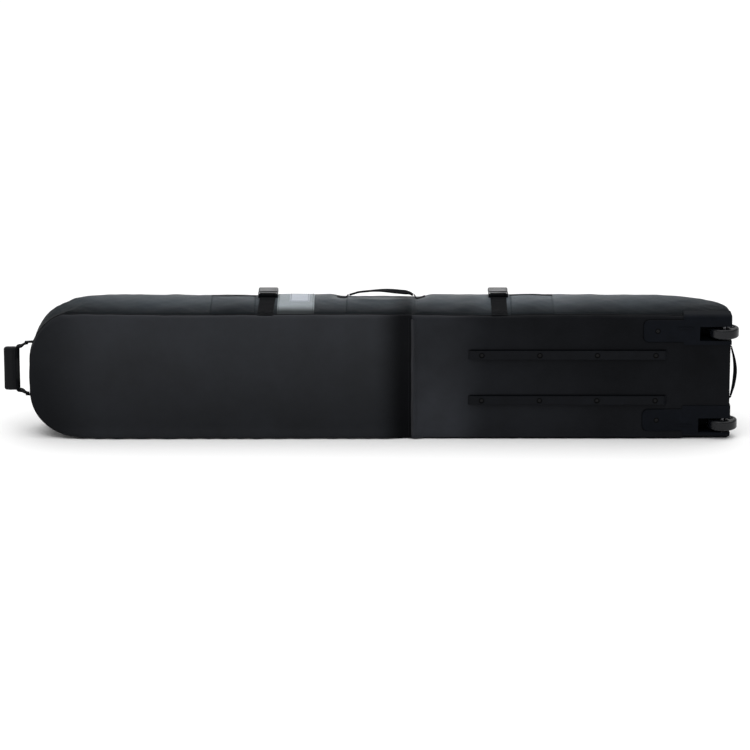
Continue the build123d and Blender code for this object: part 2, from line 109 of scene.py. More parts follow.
# how far the cloth stands proud of the outline, or dips into it
CLOTH_SWELL = 0.0058
FLOOR_BULGE = 0.0075
FOLD_DEPTH = 0.0075
NOSE_SLOPE = 0.0085
HANDLE_ROOM = 0.0074
# radius of the lower edge on the lid side
LOW_EDGE_R = 0.012
ENDS = ("nose", "tail")
SIDES = ("lower", "upper")


# ---------------------------------------------------------------- small helpers
def arc_lengths(points):
    """Distance of every point along a line from its first point."""
    return np.concatenate([[0], np.cumsum(np.linalg.norm(np.diff(points, axis=0), axis=1))])


def columns_at(values, known, rows):
    """Each column of rows read at values of a known coordinate."""
    return np.column_stack([np.interp(values, known, rows[:, k]) for k in range(rows.shape[1])])


def unit(vectors):
    return vectors / np.linalg.norm(vectors, axis=-1, keepdims=True)


def place_in_scene(piece):
    bpy.context.scene.collection.objects.link(piece)
    return piece


# ---------------------------------------------------------------- smooth noise and folds
def smooth_noise(points, scale, seed, octaves=3):
    """Sum of seeded plane waves: a soft random field of about unit height, by position."""
    source = np.random.default_rng(seed)
    total = np.zeros(points.shape[:-1])
    weight = 0.0
    for octave in range(octaves):
        size = scale / 1.9 ** octave
        gain = 0.55 ** octave
        for _ in range(7):
            way = source.normal(size=3)
            way /= np.linalg.norm(way)
            phase = source.uniform(0, 2 * math.pi)
            wave = 2 * math.pi / (size * source.uniform(0.75, 1.5))
            total += gain * np.sin(points @ way * wave + phase)
        weight += gain * math.sqrt(3.5)
    return total / weight


def bump_at(value, centre, width):
    return np.exp(-(((value - centre) / width) ** 2))


def smooth_step(value, start, end):
    t = np.clip((value - start) / (end - start), 0, 1)
    return t * t * (3 - 2 * t)


# ---------------------------------------------------------------- outline of the bag
def plan_limits(x, inset):
    """Lowest and highest point of the outline at one station."""
    low, high = inset, CREST_Z - inset
    if x < NOSE_X:
        rx = HALF_LENGTH + NOSE_X - inset
        k = max(0.0, 1 - abs((x - NOSE_X) / rx) ** NOSE_POWER) ** (1 / NOSE_POWER)
        low = NOSE_LOW_Z - (NOSE_LOW_Z - inset) * k
        high = NOSE_HIGH_Z + (CREST_Z - NOSE_HIGH_Z - inset) * k
    start = HALF_LENGTH - TAIL_CORNER
    if x > start:
        r = TAIL_CORNER - inset
        drop = r - math.sqrt(max(0.0, r * r - (x - start) ** 2))
        low, high = low + drop, high - drop
    return low, high


def lid_height(x, inset):
    """Y of the lid side at one station, lower towards both ends."""
    if x < NOSE_TAPER_X:
        rx, ry = HALF_LENGTH + NOSE_TAPER_X - inset, LID_Y - NOSE_TIP_Y - inset
        return NOSE_TIP_Y + ry * math.sqrt(max(0.0, 1 - ((x - NOSE_TAPER_X) / rx) ** 2))
    if x > TAIL_TAPER_X:
        rx, ry = HALF_LENGTH - TAIL_TAPER_X - inset, LID_Y - TAIL_TIP_Y - inset
        return TAIL_TIP_Y + ry * math.sqrt(max(0.0, 1 - ((x - TAIL_TAPER_X) / rx) ** 2))
    return LID_Y - inset


def opening_limits(x, inset):
    """Lower and upper edge of the zipped opening at one station."""
    end = OPENING_X - inset
    x = min(max(x, -end), end)
    low, high = OPENING_Z[0] + inset, OPENING_Z[1] - inset
    for limit, radius in ((-end, OPENING_NOSE_R - inset), (end, OPENING_TAIL_R - inset)):
        near = radius - abs(limit - x)
        if near > 0:
            drop = radius - math.sqrt(max(0.0, radius * radius - near * near))
            return low + drop, high - drop
    return low, high


def top_z(x_limits, y, inset):
    crown = SHOULDER_Z - inset + (CREST_Z - SHOULDER_Z) * (1 - (y / LID_Y) ** 2)
    return np.minimum(crown, x_limits[1])


# ---------------------------------------------------------------- the shell as one grid
SEGMENTS = {"base": 64, "top_corner": 8, "top": 52, "lid_corner": 12, "low_corner": 6, "floor": 30, "foot": 7}
LID_COUNTS = (8, 3, 1, 3, 52, 3, 1, 3, 6)


def even(count, start, end):
    return np.linspace(start, end, count, endpoint=False)


def section_loop(x, inset):
    """One closed cross-section as (y, z) rows: up the base, over the top, down the lid, back under."""
    z0, z1 = plan_limits(x, inset)
    y0, y1 = BASE_Y + inset, lid_height(x, inset)
    room = min(z1 - z0, y1 - y0)
    r_base = min(BASE_EDGE_R - inset, room * 0.3)
    r_lid = min(LID_EDGE_R - inset, room * 0.42)
    r_low = min(LOW_EDGE_R, room * 0.2)
    foot_y = min(FOOT_Y - inset / 3, room * 0.3)
    foot_z = min(FOOT_Z - inset / 2, room * 0.22)
    limits = (z0, z1)
    top_start = top_z(limits, y0 + r_base, inset)
    top_end = top_z(limits, y1 - r_lid, inset)
    rows = []
    z = even(SEGMENTS["base"], z0 + foot_z, top_start - r_base)
    rows.append(np.column_stack([np.full_like(z, y0), z]))
    a = even(SEGMENTS["top_corner"], math.pi, math.pi / 2)
    rows.append(np.column_stack([y0 + r_base + r_base * np.cos(a), top_start - r_base + r_base * np.sin(a)]))
    y = even(SEGMENTS["top"], y0 + r_base, y1 - r_lid)
    rows.append(np.column_stack([y, top_z(limits, y, inset)]))
    a = even(SEGMENTS["lid_corner"], math.pi / 2, 0)
    rows.append(np.column_stack([y1 - r_lid + r_lid * np.cos(a), top_end - r_lid + r_lid * np.sin(a)]))
    high, low = top_end - r_lid, z0 + r_low
    edges = [high]
    for line in TAPE_LINES:
        edges.append(opening_edge(x, inset, line, 1, low, high))
    for line in reversed(TAPE_LINES):
        edges.append(opening_edge(x, inset, line, 0, low, high))
    edges.append(low)
    z = np.concatenate([even(n, edges[k], edges[k + 1]) for k, n in enumerate(LID_COUNTS)])
    rows.append(np.column_stack([np.full_like(z, y1), z]))
    a = even(SEGMENTS["low_corner"], 0, -math.pi / 2)
    rows.append(np.column_stack([y1 - r_low + r_low * np.cos(a), z0 + r_low + r_low * np.sin(a)]))
    y = even(SEGMENTS["floor"], y1 - r_low, y0 + foot_y)
    rows.append(np.column_stack([y, np.full_like(y, z0)]))
    t = even(SEGMENTS["foot"], 0, 1)
    rows.append(np.column_stack([y0 + foot_y * (1 - t) ** 1.3, z0 + foot_z * t ** 1.3]))
    return np.vstack(rows)


def opening_edge(x, inset, line, upper, low, high):
    """Z of one line of the zip at a station; beyond its end it keeps its share of the height."""
    end = OPENING_X - line
    held = min(max(x, -end), end)
    z = opening_limits(held, line)[upper]
    if abs(x) <= end:
        return min(max(z, low), high)
    z0, z1 = plan_limits(held, inset)
    held_low = z0 + LOW_EDGE_R
    held_high = z1 - LID_EDGE_R + inset
    share = (z - held_low) / (held_high - held_low)
    return low + min(max(share, 0.02), 0.98) * (high - low)


def stations(inset):
    """X of every cross-section: close together where the outline turns."""
    nose_rx = HALF_LENGTH + NOSE_X - inset
    nose = NOSE_X - nose_rx * np.cos(np.linspace(0, math.pi / 2, 44, endpoint=False))
    middle = np.arange(NOSE_X, TAIL_TAPER_X, 0.006)
    tail_rx = HALF_LENGTH - TAIL_TAPER_X - inset
    tail = TAIL_TAPER_X + tail_rx * np.sin(np.linspace(0, math.pi / 2, 52))
    marks = []
    for line in TAPE_LINES:
        marks += [-OPENING_X + line, OPENING_X - line]
    marks += [FOLD_X - 0.004, FOLD_X, FOLD_X + 0.004]
    x = np.concatenate([nose, middle, tail])
    keep = np.array([min(abs(v - m) for m in marks) > 0.0015 for v in x])
    keep[0] = keep[-1] = True
    return np.unique(np.concatenate([x[keep], marks]))


def shell_grid(inset):
    """Stations by loop points, plus cap rings that close both ends."""
    xs = stations(inset)
    grid = np.array([[(x, y, z) for y, z in section_loop(x, inset)] for x in xs])
    nose = cap_rings(grid[0], -1)
    tail = cap_rings(grid[-1], 1)
    return np.concatenate([nose[::-1], grid, tail])


def cap_rings(ring, way):
    centre = ring.mean(0)
    rings = []
    for k in (0.94, 0.8, 0.6, 0.4, 0.2, 0.02):
        piece = centre + (ring - centre) * k
        piece[:, 0] += way * 0.0012 * (1 - k * k)
        rings.append(piece)
    return np.array(rings)


def grid_normals(grid):
    along = np.gradient(grid, axis=0)
    wrapped = np.concatenate([grid[:, -1:], grid, grid[:, :1]], axis=1)
    around = (wrapped[:, 2:] - wrapped[:, :-2]) / 2
    normal = np.cross(along, around)
    return normal / np.maximum(np.linalg.norm(normal, axis=2, keepdims=True), 1e-12)


# ---------------------------------------------------------------- how the cloth lies
def fold_dip(x):
    """Depth of the valley that the nose half makes beside the mid seam."""
    return FOLD_DEPTH * bump_at(x, FOLD_X - 0.018, 0.020) * (x < FOLD_X + 0.004)


def relief(points, normal):
    """Outward push of the cloth at each point: fullness, seams that pull in, folds and creases."""
    x, y, z = points[..., 0], points[..., 1], points[..., 2]
    on_base = smooth_step(-normal[..., 1], 0.6, 0.95)
    on_top = smooth_step(normal[..., 2], 0.5, 0.9)
    on_lid = smooth_step(normal[..., 1], 0.5, 0.9)
    on_floor = smooth_step(-normal[..., 2], 0.5, 0.9)
    push = 0.0008 * smooth_noise(points, 0.34, 3) * (on_top + on_lid + 0.5 * on_base)
    push += 0.0005 * smooth_noise(points, 0.08, 5) * (on_top + on_lid)
    nose_half = 1 - smooth_step(x, FOLD_X - 0.01, FOLD_X + 0.004)
    push += on_base * nose_half * 0.0012 * smooth_noise(points * np.array([1, 1, 2.2]), 0.22, 7)
    # the piped seam pulls both panels in
    seam = bump_at(z, SHOULDER_Z - 0.001, 0.008) * bump_at(y, SEAM_Y + 0.003, 0.005)
    push -= 0.0016 * seam
    # the nose half folds at mid-length: the cloth dips into the seam
    push -= fold_dip(x) * on_base
    crease = FOLD_X - 0.004 + 0.10 * np.clip(y - BASE_Y, 0, 0.2)
    behind_seam = smooth_step(y, -0.092, -0.078)
    push -= 0.0050 * bump_at(x, crease, 0.009) * on_top * behind_seam * (1 - smooth_step(y, 0.0, 0.08))
    beside = bump_at(x, crease + 0.036, 0.024)
    push += 0.0025 * beside * on_top * behind_seam * (1 - smooth_step(y, -0.02, 0.08))
    # the gusset is drawn down under each tight strap and swells between them
    for centre in (STRAP_X["nose"], STRAP_X["tail"]):
        push -= 0.0012 * bump_at(x, centre, 0.028) * on_top
    push += 0.0010 * np.sin((x - STRAP_X["nose"]) * 11.0) * on_top
    # the lower side bulges out where it rests on the floor
    on_front = (1 - on_top) * (1 - on_floor) * (x < HOUSING_X) * (1 - on_lid)
    push += FLOOR_BULGE * bump_at(z, 0.007, 0.014) * on_front
    # short gathers along the lower edge
    gather = bump_at(z, 0.010, 0.012) * (1 - on_base * 0.4)
    push += 0.0012 * gather * np.sin(x * 130 + 2.2 * np.sin(x * 17)) * (x < HOUSING_X)
    # slanting wrinkles where the cloth turns round the nose
    near_nose = bump_at(x, NOSE_X - 0.03, 0.07) * bump_at(z, SHOULDER_Z - 0.012, 0.035)
    push += 0.0006 * near_nose * np.sin((x + z * 1.7 + y * 0.6) * 150 + 4 * np.sin(x * 31))
    # the padded base stands fullest at mid-height
    push += 0.0030 * on_base * nose_half * np.sin(np.clip(z / CREST_Z, 0, 1) * math.pi)
    # the padded upper side stands fuller towards the lid, and the end wall is drawn in between the wheels
    push += CLOTH_SWELL * on_top * smooth_step(y, -0.06, 0.06) * (1 - smooth_step(x, 0.66, 0.80))
    push -= NOSE_SLOPE * on_top * bump_at(x, -0.765, 0.050) * smooth_step(y, -0.085, -0.02)
    on_tail = smooth_step(normal[..., 0], 0.6, 0.95)
    push -= 0.0050 * on_tail * smooth_step(z, 0.080, 0.110) * (1 - smooth_step(z, 0.205, 0.235))
    # room for the carry handle to swing, and a flat run for the zip sliders
    at_handle = smooth_step(x, -0.125, -0.088) * (1 - smooth_step(x, 0.092, 0.130))
    push -= HANDLE_ROOM * on_top * at_handle * bump_at(y, 0.060, 0.036)
    at_zip = smooth_step(x, -0.30, -0.26) * (1 - smooth_step(x, 0.26, 0.30))
    push *= 1 - 0.97 * on_lid * at_zip * bump_at(z, 0.279, 0.022)
    push *= 1 - 0.9 * on_floor
    # stiffened parts stay flat
    board = smooth_step(x, FOLD_X + 0.01, FOLD_X + 0.03) * on_base
    return push * (1 - 0.7 * board)


STRAP_X = {}
for end in ENDS:
    low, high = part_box(end + "_gusset_strap")
    STRAP_X[end] = (low.x + high.x) / 2

outer = shell_grid(0.0)
outer_normal = grid_normals(outer)
inner = shell_grid(WALL)
inner_normal = grid_normals(inner)
inner[..., 1] += fold_dip(inner[..., 0]) * smooth_step(-inner_normal[..., 1], 0.6, 0.95)


def seated(grid, normal):
    """Cloth as it lies, never lower than the floor."""
    placed = grid + normal * relief(grid, normal)[..., None]
    placed[..., 2] = np.maximum(placed[..., 2], 0.0002)
    return placed


cloth = seated(outer, outer_normal)


# ---------------------------------------------------------------- meshes
def new_object(name, vertices, faces, uvs=None, smooth=True):
    """Mesh object from vertex rows, face index lists and, per vertex, a UV in metres."""
    mesh = bpy.data.meshes.new(name)
    mesh.from_pydata([tuple(v) for v in vertices], [], [tuple(int(i) for i in f) for f in faces])
    if uvs is not None:
        layer = mesh.uv_layers.new(name="cloth")
        order = np.zeros(len(mesh.loops), int)
        mesh.loops.foreach_get("vertex_index", order)
        layer.data.foreach_set("uv", np.asarray(uvs, float)[order].ravel())
    if smooth:
        mesh.polygons.foreach_set("use_smooth", [True] * len(mesh.polygons))
    mesh.update()
    return place_in_scene(bpy.data.objects.new(name, mesh))


def grid_uvs(grid):
    """Arc length along the bag and around it."""
    step = np.linalg.norm(np.diff(grid, axis=1), axis=2)
    around = np.concatenate([np.zeros((grid.shape[0], 1)), np.cumsum(step, axis=1)], axis=1)
    return np.stack([grid[..., 0], around], axis=2)


def panel(name, grid, mask):
    """The masked quads of a closed grid as their own object."""
    rows, cols = np.nonzero(mask)
    n = grid.shape[1]
    nxt = (cols + 1) % n
    quads = np.stack([rows * n + cols, (rows + 1) * n + cols, (rows + 1) * n + nxt, rows * n + nxt], axis=1)
    used, inverse = np.unique(quads, return_inverse=True)
    uvs = grid_uvs(grid).reshape(-1, 2)[used]
    return new_object(name, grid.reshape(-1, 3)[used], inverse.reshape(quads.shape), uvs)


def quad_centres(grid):
    nxt = np.roll(grid, -1, axis=1)
    return (grid[:-1] + grid[1:] + nxt[:-1] + nxt[1:]) / 4


def loop_marks():
    """Index of the first column of each stretch of the cross-section."""
    counts = {**SEGMENTS, "lid": sum(LID_COUNTS)}
    marks, start = {}, 0
    for name in ("base", "top_corner", "top", "lid_corner", "lid", "low_corner", "floor", "foot"):
        marks[name] = start
        start += counts[name]
    return marks


MARK = loop_marks()
LID_EDGE = MARK["lid"] + np.concatenate([[0], np.cumsum(LID_COUNTS)])


def lid_zones(grid):
    """For every quad: 0 outside the opening, then 1 shell tape, 2 coil gap, 3 lid tape, 4 lid."""
    centres = quad_centres(grid)
    zone = np.zeros(centres.shape[:2], int)
    column = np.arange(centres.shape[1])
    for level, line in enumerate(TAPE_LINES, start=1):
        inside_z = (column >= LID_EDGE[level]) & (column < LID_EDGE[-1 - level])
        inside_x = np.abs(centres[..., 0]) < OPENING_X - line
        zone = np.where(inside_x & inside_z[None, :], level, zone)
    low = (centres[..., 2] < HINGE_SIDE_Z) & (zone > 0)
    zone = np.where(low & (zone == 1), 0, zone)
    zone = np.where(low & (zone == 3), 4, zone)
    return zone


zones = lid_zones(outer)
centre = quad_centres(outer)
column = np.broadcast_to(np.arange(centre.shape[1]), centre.shape[:2])
is_base = (centre[..., 1] < SEAM_Y - 0.001) & ((column < MARK["top"]) | (column >= MARK["floor"]))
is_wall = ~is_base & (zones == 0)
UPPER_Z = 0.150
TAIL_SEAM_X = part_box("upper_gusset")[1].x
NOSE_SEAM_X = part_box("upper_gusset")[0].x


# ---------------------------------------------------------------- cutting round the wheel housings
def cut_box(piece, low, high):
    """Removes the part of a piece inside a box, with clean edges."""
    mesh = bmesh.new()
    mesh.from_mesh(piece.data)
    for axis in range(3):
        for value in (low[axis], high[axis]):
            if abs(value) > 5:
                continue
            point, normal = [0.0] * 3, [0.0] * 3
            point[axis], normal[axis] = value, 1.0
            near = [f for f in mesh.faces if touches(f, low, high)]
            parts = list({e for f in near for e in f.edges}) + near + list({v for f in near for v in f.verts})
            bmesh.ops.bisect_plane(mesh, geom=parts, dist=1e-6, plane_co=point, plane_no=normal)
    doomed = [f for f in mesh.faces if inside(f.calc_center_median(), low, high)]
    bmesh.ops.delete(mesh, geom=doomed, context="FACES")
    mesh.to_mesh(piece.data)
    mesh.free()
    return piece


def inside(point, low, high):
    return all(low[k] < point[k] < high[k] for k in range(3))


def touches(face, low, high):
    pad = 0.012
    return any(all(low[k] - pad < v.co[k] < high[k] + pad for k in range(3)) for v in face.verts)


def cut_for_wheels(piece):
    under = 0.003
    spans = {"lower": (-9, HOUSING_EDGE["lower"] - under), "upper": (HOUSING_EDGE["upper"] + under, 9)}
    for side, (z0, z1) in spans.items():
        slot = WHEEL_Z[side]
        cut_box(piece, (HOUSING_X + under, -9, z0), (9, HOUSING_WRAP_Y - under, z1))
        cut_box(piece, (SLOT_X, -9, slot - SLOT_HALF), (9, SLOT_BACK_Y, slot + SLOT_HALF))
    return piece


# ---------------------------------------------------------------- materials
class Look:
    """A Principled material built up node by node."""

    def __init__(self, name):
        self.material = bpy.data.materials.new(name)
        self.material.use_nodes = True
        self.shader = self.material.node_tree.nodes["Principled BSDF"]
        self.place = None

    def link(self, source, target):
        self.material.node_tree.links.new(source, target)

    def add(self, kind, wires=(), **settings):
        """New node; wires are (source, input) pairs, settings are inputs or properties."""
        node = self.material.node_tree.nodes.new(kind)
        for key, value in settings.items():
            if key in node.inputs:
                node.inputs[key].default_value = value
            else:
                setattr(node, key, value)
        for source, socket in wires:
            self.link(source, node.inputs[socket])
        return node

    def locate(self):
        self.place = self.add("ShaderNodeTexCoord").outputs["Object"]

    def cloth_uv(self):
        return self.add("ShaderNodeUVMap", uv_map="cloth").outputs[0]

    def wave(self, uv, way, scale, **settings):
        node = self.add("ShaderNodeTexWave", [(uv, "Vector")], Scale=scale, bands_direction=way, **settings)
        return node.outputs["Fac"]

    def noise(self, scale, **settings):
        node = self.add("ShaderNodeTexNoise", [(self.place, "Vector")], Scale=scale, **settings)
        return node.outputs["Fac"]

    def joined(self, operation, first, second):
        return self.add("ShaderNodeMath", [(first, 0), (second, 1)], operation=operation).outputs[0]

    def ramp(self, factor, *stops):
        """Colour by factor; a stop is (position, grey or colour)."""
        node = self.add("ShaderNodeValToRGB", [(factor, 0)])
        elements = node.color_ramp.elements
        while len(elements) < len(stops):
            elements.new(0.5)
        for element, (position, colour) in zip(elements, stops):
            element.position = position
            element.color = (*np.broadcast_to(colour, 3), 1.0)
        return node.outputs[0]

    def tinted(self, strength, first, second):
        """First colour multiplied by the second, at some strength."""
        node = self.add("ShaderNodeMix", data_type="RGBA", blend_type="MULTIPLY")
        node.inputs[0].default_value = strength
        self.link(first, node.inputs[6])
        self.link(second, node.inputs[7])
        return node.outputs[2]

    def with_painted_light(self, colour, painted_light):
        """Value scaled along an axis, painting light and shade in: each fade is (axis, start, end, factor at
        start, at end).
        """
        if not painted_light:
            return colour
        split = self.add("ShaderNodeSeparateXYZ", [(self.place, 0)])
        for axis, start, end, first, last in painted_light:
            limits = {"From Min": start, "From Max": end, "To Min": first, "To Max": last}
            wires = [(split.outputs[axis], "Value")]
            spread = self.add("ShaderNodeMapRange", wires, interpolation_type="SMOOTHSTEP", **limits)
            wires = [(colour, 0), (spread.outputs[0], "Scale")]
            colour = self.add("ShaderNodeVectorMath", wires, operation="SCALE").outputs[0]
        return colour

    def roughness(self, source, low, high):
        spread = self.add("ShaderNodeMapRange", [(source, "Value")], **{"To Min": low, "To Max": high})
        self.link(spread.outputs[0], self.shader.inputs["Roughness"])

    def bump(self, height, strength, distance, under=None):
        wires = [(height, "Height")] + ([(under, "Normal")] if under else [])
        return self.add("ShaderNodeBump", wires, Strength=strength, Distance=distance).outputs[0]

    def finish(self, colour, normal, **settings):
        self.link(colour, self.shader.inputs["Base Color"])
        self.link(normal, self.shader.inputs["Normal"])
        for key, value in settings.items():
            self.shader.inputs[key.replace("_", " ")].default_value = value
        return self.material


def shade(colour, factor):
    return tuple(min(1.0, c * factor) for c in colour)


def woven(name, colour, pitch=0.0009, rough=0.78, sheen=0.25, depth=0.00016, cloudy=0.25, specular=0.35,
          painted_light=()):
    """Plain-woven cloth: threads both ways from the UV in metres, soft clouding, fine flecks and a sheen,
    with painted light and shade that scale colour and gloss along given axes.
    """
    look = Look(name)
    uv = look.cloth_uv()
    threads = [look.wave(uv, way, math.tau / (20 * pitch), Distortion=0.6, Detail=1.0) for way in ("X", "Y")]
    crossed = look.joined("MAXIMUM", *threads)
    look.locate()
    cloud = look.noise(7.0, Detail=6.0, Roughness=0.6)
    fleck = look.noise(900.0, Detail=2.0, Roughness=0.7)
    tone = look.ramp(cloud, (0.3, shade(colour, 1 - cloudy)), (0.72, shade(colour, 1 + cloudy)))
    base = look.tinted(0.8, tone, look.ramp(crossed, (0.15, 0.62), (0.95, 1.12)))
    base = look.tinted(0.6, base, look.ramp(fleck, (0.35, 0.8), (0.7, (1.2, 1.2, 1.22))))
    base = look.with_painted_light(base, painted_light)
    look.roughness(cloud, rough - 0.09, min(1.0, rough + 0.09))
    gloss = look.add("ShaderNodeCombineXYZ", X=specular, Y=specular, Z=specular)
    look.link(look.with_painted_light(gloss.outputs[0], painted_light), look.shader.inputs["Specular IOR Level"])
    weave = look.bump(crossed, 0.55, depth)
    pucker = look.noise(60.0, Detail=4.0, Roughness=0.55)
    normal = look.bump(pucker, 0.35, 0.0009, weave)
    return look.finish(base, normal, Sheen_Weight=sheen, Sheen_Roughness=0.45)


def ribbed(name, colour, rib=0.0016, rough=0.62, sheen=0.04, specular=0.22):
    """Webbing: ribs across the band, darker between them, from the UV in metres."""
    look = Look(name)
    uv = look.cloth_uv()
    ribs = look.wave(uv, "X", math.tau / (20 * rib), Distortion=0.5, Detail=1.0)
    cross = look.wave(uv, "Y", math.tau / (30 * rib), Distortion=0.3)
    height = look.joined("MULTIPLY", ribs, cross)
    look.locate()
    cloud = look.noise(24.0, Detail=4.0)
    tone = look.ramp(height, (0.0, shade(colour, 0.55)), (1.0, shade(colour, 1.5)))
    base = look.tinted(1.0, tone, look.ramp(cloud, (0.3, 0.8), (0.7, 1.15)))
    look.roughness(height, rough + 0.1, rough - 0.1)
    normal = look.bump(height, 0.8, 0.0004)
    return look.finish(base, normal, Specular_IOR_Level=specular, Sheen_Weight=sheen)


def moulded(name, colour, rough=0.42, grain=900.0, depth=0.00008, scuff=0.25, metallic=0.0, specular=0.3):
    """Moulded plastic, rubber or enamel: fine grain, scuffs and roughness that varies."""
    look = Look(name)
    look.locate()
    fine = look.noise(grain, Detail=3.0)
    broad = look.noise(28.0, Detail=7.0, Roughness=0.68)
    worn = ((0.32, shade(colour, 1 - scuff)), (0.6, colour), (0.78, shade(colour, 1 + 2 * scuff)))
    base = look.ramp(broad, *worn)
    look.roughness(broad, max(0.04, rough - 0.12), min(1.0, rough + 0.14))
    normal = look.bump(fine, 0.4, depth)
    return look.finish(base, normal, Metallic=metallic, Specular_IOR_Level=specular)


def built(maker, **looks):
    return {name: maker(name, **settings) for name, settings in looks.items()}


# painted light and shade on the nose half of the base: darker at the nose and into the mid fold, lighter
# towards the top
BASE_PAINTED_LIGHT = (("X", -0.83, -0.66, 0.50, 1.0), ("X", -0.020, 0.056, 1.0, 0.24), ("Z", 0.02, 0.30, 0.78, 1.22))
# painted light and shade on the tail board: darker towards the tail end, lighter towards the bottom
BOARD_PAINTED_LIGHT = (("X", 0.150, 0.265, 1.0, 0.50), ("X", 0.28, 0.62, 1.0, 0.75), ("Z", 0.02, 0.28, 1.9, 1.4))
# painted light and shade on the upper side: darker towards the base seam, a dark band at the mid fold, darker
# at the nose and towards the tail, and a painted highlight between x 0.2 and 0.45
GUSSET_PAINTED_LIGHT = (
    ("Y", -0.090, 0.035, 0.20, 1.1),
    ("X", 0.010, 0.066, 1.0, 0.45),
    ("X", 0.066, 0.105, 1.0, 2.2),
    ("X", -0.82, -0.64, 0.3, 1.0),
    ("X", 0.20, 0.28, 1.0, 1.5),
    ("X", 0.42, 0.50, 1.0, 0.67),
    ("X", 0.50, 0.80, 1.0, 0.65),
)
LOOKS = built(
    woven,
    black_fabric=dict(colour=(0.0118, 0.0132, 0.0162), pitch=0.0011, sheen=0.02, rough=0.72, specular=0.18,
                      painted_light=BASE_PAINTED_LIGHT),
    lid_cloth=dict(colour=(0.0105, 0.0120, 0.0160), pitch=0.0012, rough=0.62, sheen=0.02, specular=0.20),
    grip_cloth=dict(colour=(0.0040, 0.0044, 0.0054), pitch=0.0012, rough=0.6, sheen=0.0, specular=0.12),
    base_tarpaulin=dict(colour=(0.0090, 0.0099, 0.0121), pitch=0.0014, rough=0.55, sheen=0.0, depth=0.0001,
                        cloudy=0.3, specular=0.07, painted_light=BOARD_PAINTED_LIGHT),
    slate_fabric=dict(colour=(0.0380, 0.0465, 0.0540), rough=0.50, sheen=0.0, specular=0.06,
                      painted_light=GUSSET_PAINTED_LIGHT),
    # light band: painted shade, darker towards the base seam
    grey_fabric=dict(colour=(0.245, 0.275, 0.290), rough=0.6, sheen=0.0, cloudy=0.08, specular=0.2,
                     painted_light=(("Y", -0.080, -0.030, 0.11, 1.0),)),
    label=dict(colour=(0.40, 0.43, 0.475), pitch=0.0006, rough=0.6, sheen=0.0, specular=0.2, cloudy=0.04),
    lining=dict(colour=(0.075, 0.078, 0.088), pitch=0.0007, rough=0.72, sheen=0.2, cloudy=0.12),
    zip_tape=dict(colour=(0.014, 0.014, 0.017), pitch=0.0008, rough=0.75, sheen=0.1),
)
LOOKS |= built(
    ribbed,
    # piping: black cord, darkened further as painted shade so it reads as the shadow line along the base seam
    piping=dict(colour=(0.0035, 0.0040, 0.0055), rib=0.0012, rough=0.5, sheen=0.0, specular=0.1),
    binding=dict(colour=(0.017, 0.018, 0.022), rib=0.0014, rough=0.6),
    webbing=dict(colour=(0.0030, 0.0035, 0.0046), sheen=0.0, specular=0.05),
)
LOOKS |= built(
    moulded,
    shadow_rubber=dict(colour=(0.0011, 0.0012, 0.0015), rough=0.7, specular=0.04),
    thread=dict(colour=(0.0085, 0.0092, 0.0115), rough=0.6, grain=2500.0, specular=0.15),
    coil=dict(colour=(0.012, 0.012, 0.014), rough=0.35, specular=0.3),
    skid_plastic=dict(colour=(0.0036, 0.0043, 0.0060), rough=0.36, scuff=0.35, specular=0.07),
    housing_plastic=dict(colour=(0.0040, 0.0050, 0.0074), rough=0.44, grain=700.0, depth=0.00014,
                         specular=0.04),
    buckle_plastic=dict(colour=(0.0060, 0.0066, 0.0088), rough=0.34, depth=0.00004, specular=0.09),
    hub_plastic=dict(colour=(0.012, 0.012, 0.015), rough=0.30, specular=0.4),
    tyre=dict(colour=(0.0040, 0.0045, 0.0062), rough=0.25, depth=0.00004, specular=0.26),
    screw_steel=dict(colour=(0.0030, 0.0030, 0.0036), rough=0.38, specular=0.15),
    bearing_steel=dict(colour=(0.50, 0.50, 0.52), rough=0.25, metallic=1.0, scuff=0.1),
    zip_metal=dict(colour=(0.03, 0.03, 0.034), rough=0.3, metallic=0.6),
    pull_rubber=dict(colour=(0.022, 0.022, 0.026), rough=0.55),
)


def dress(piece, look, body="shell", record_slot=None, replaces=(), fill=None):
    """Material, body and the CAD nodes a piece stands for; the record slot is not used."""
    piece.data.materials.clear()
    piece.data.materials.append(LOOKS[look])
    if replaces:
        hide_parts(*replaces)
    if body:
        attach(piece, body)
    return piece


# ---------------------------------------------------------------- outer cloth and lining
def outer_cloth():
    x, z = centre[..., 0], centre[..., 2]
    middle = is_wall & (x > NOSE_SEAM_X) & (x < TAIL_SEAM_X)
    for name, faces, look, node, fill in (
        ("nose_base", is_base & (x < FOLD_X), "black_fabric", "base_fabric_nose", 0.75),
        ("tail_base", is_base & (x > FOLD_X), "base_tarpaulin", "base_fabric_tail", 0.85),
        ("upper_gusset", middle & (z > UPPER_Z), "slate_fabric", "upper_gusset", 0.8),
        ("lower_gusset", middle & (z < UPPER_Z), "slate_fabric", "lower_gusset", 0.8),
        ("nose_end", is_wall & (x < NOSE_SEAM_X), "slate_fabric", "nose_gusset", 0.8),
        ("tail_end", is_wall & (x > TAIL_SEAM_X), "slate_fabric", "tail_gusset", 0.8),
    ):
        piece = panel(name + "_cloth", cloth, faces)
        if not name.startswith("nose"):
            cut_for_wheels(piece)
        dress(piece, look, replaces=(node,), fill=fill)
    for body, zone in (("shell", 1), ("lid", 3)):
        tape = panel(body + "_zip_tape", cloth, zones == zone)
        dress(tape, "zip_tape", body=body, replaces=("zip_tape_" + body,))
    lid = panel("lid_cloth", cloth, zones == 4)
    dress(lid, "lid_cloth", body="lid", record_slot="black_fabric", replaces=("lid_fabric",), fill=0.8)


def quilted(points, normal):
    """Lining pulled in along stitched lines."""
    x = points[..., 0]
    lines = np.abs(((x / 0.11) % 1) - 0.5) * 2
    return points - normal * (0.0010 * np.exp(-(((1 - lines) / 0.07) ** 2)))[..., None]


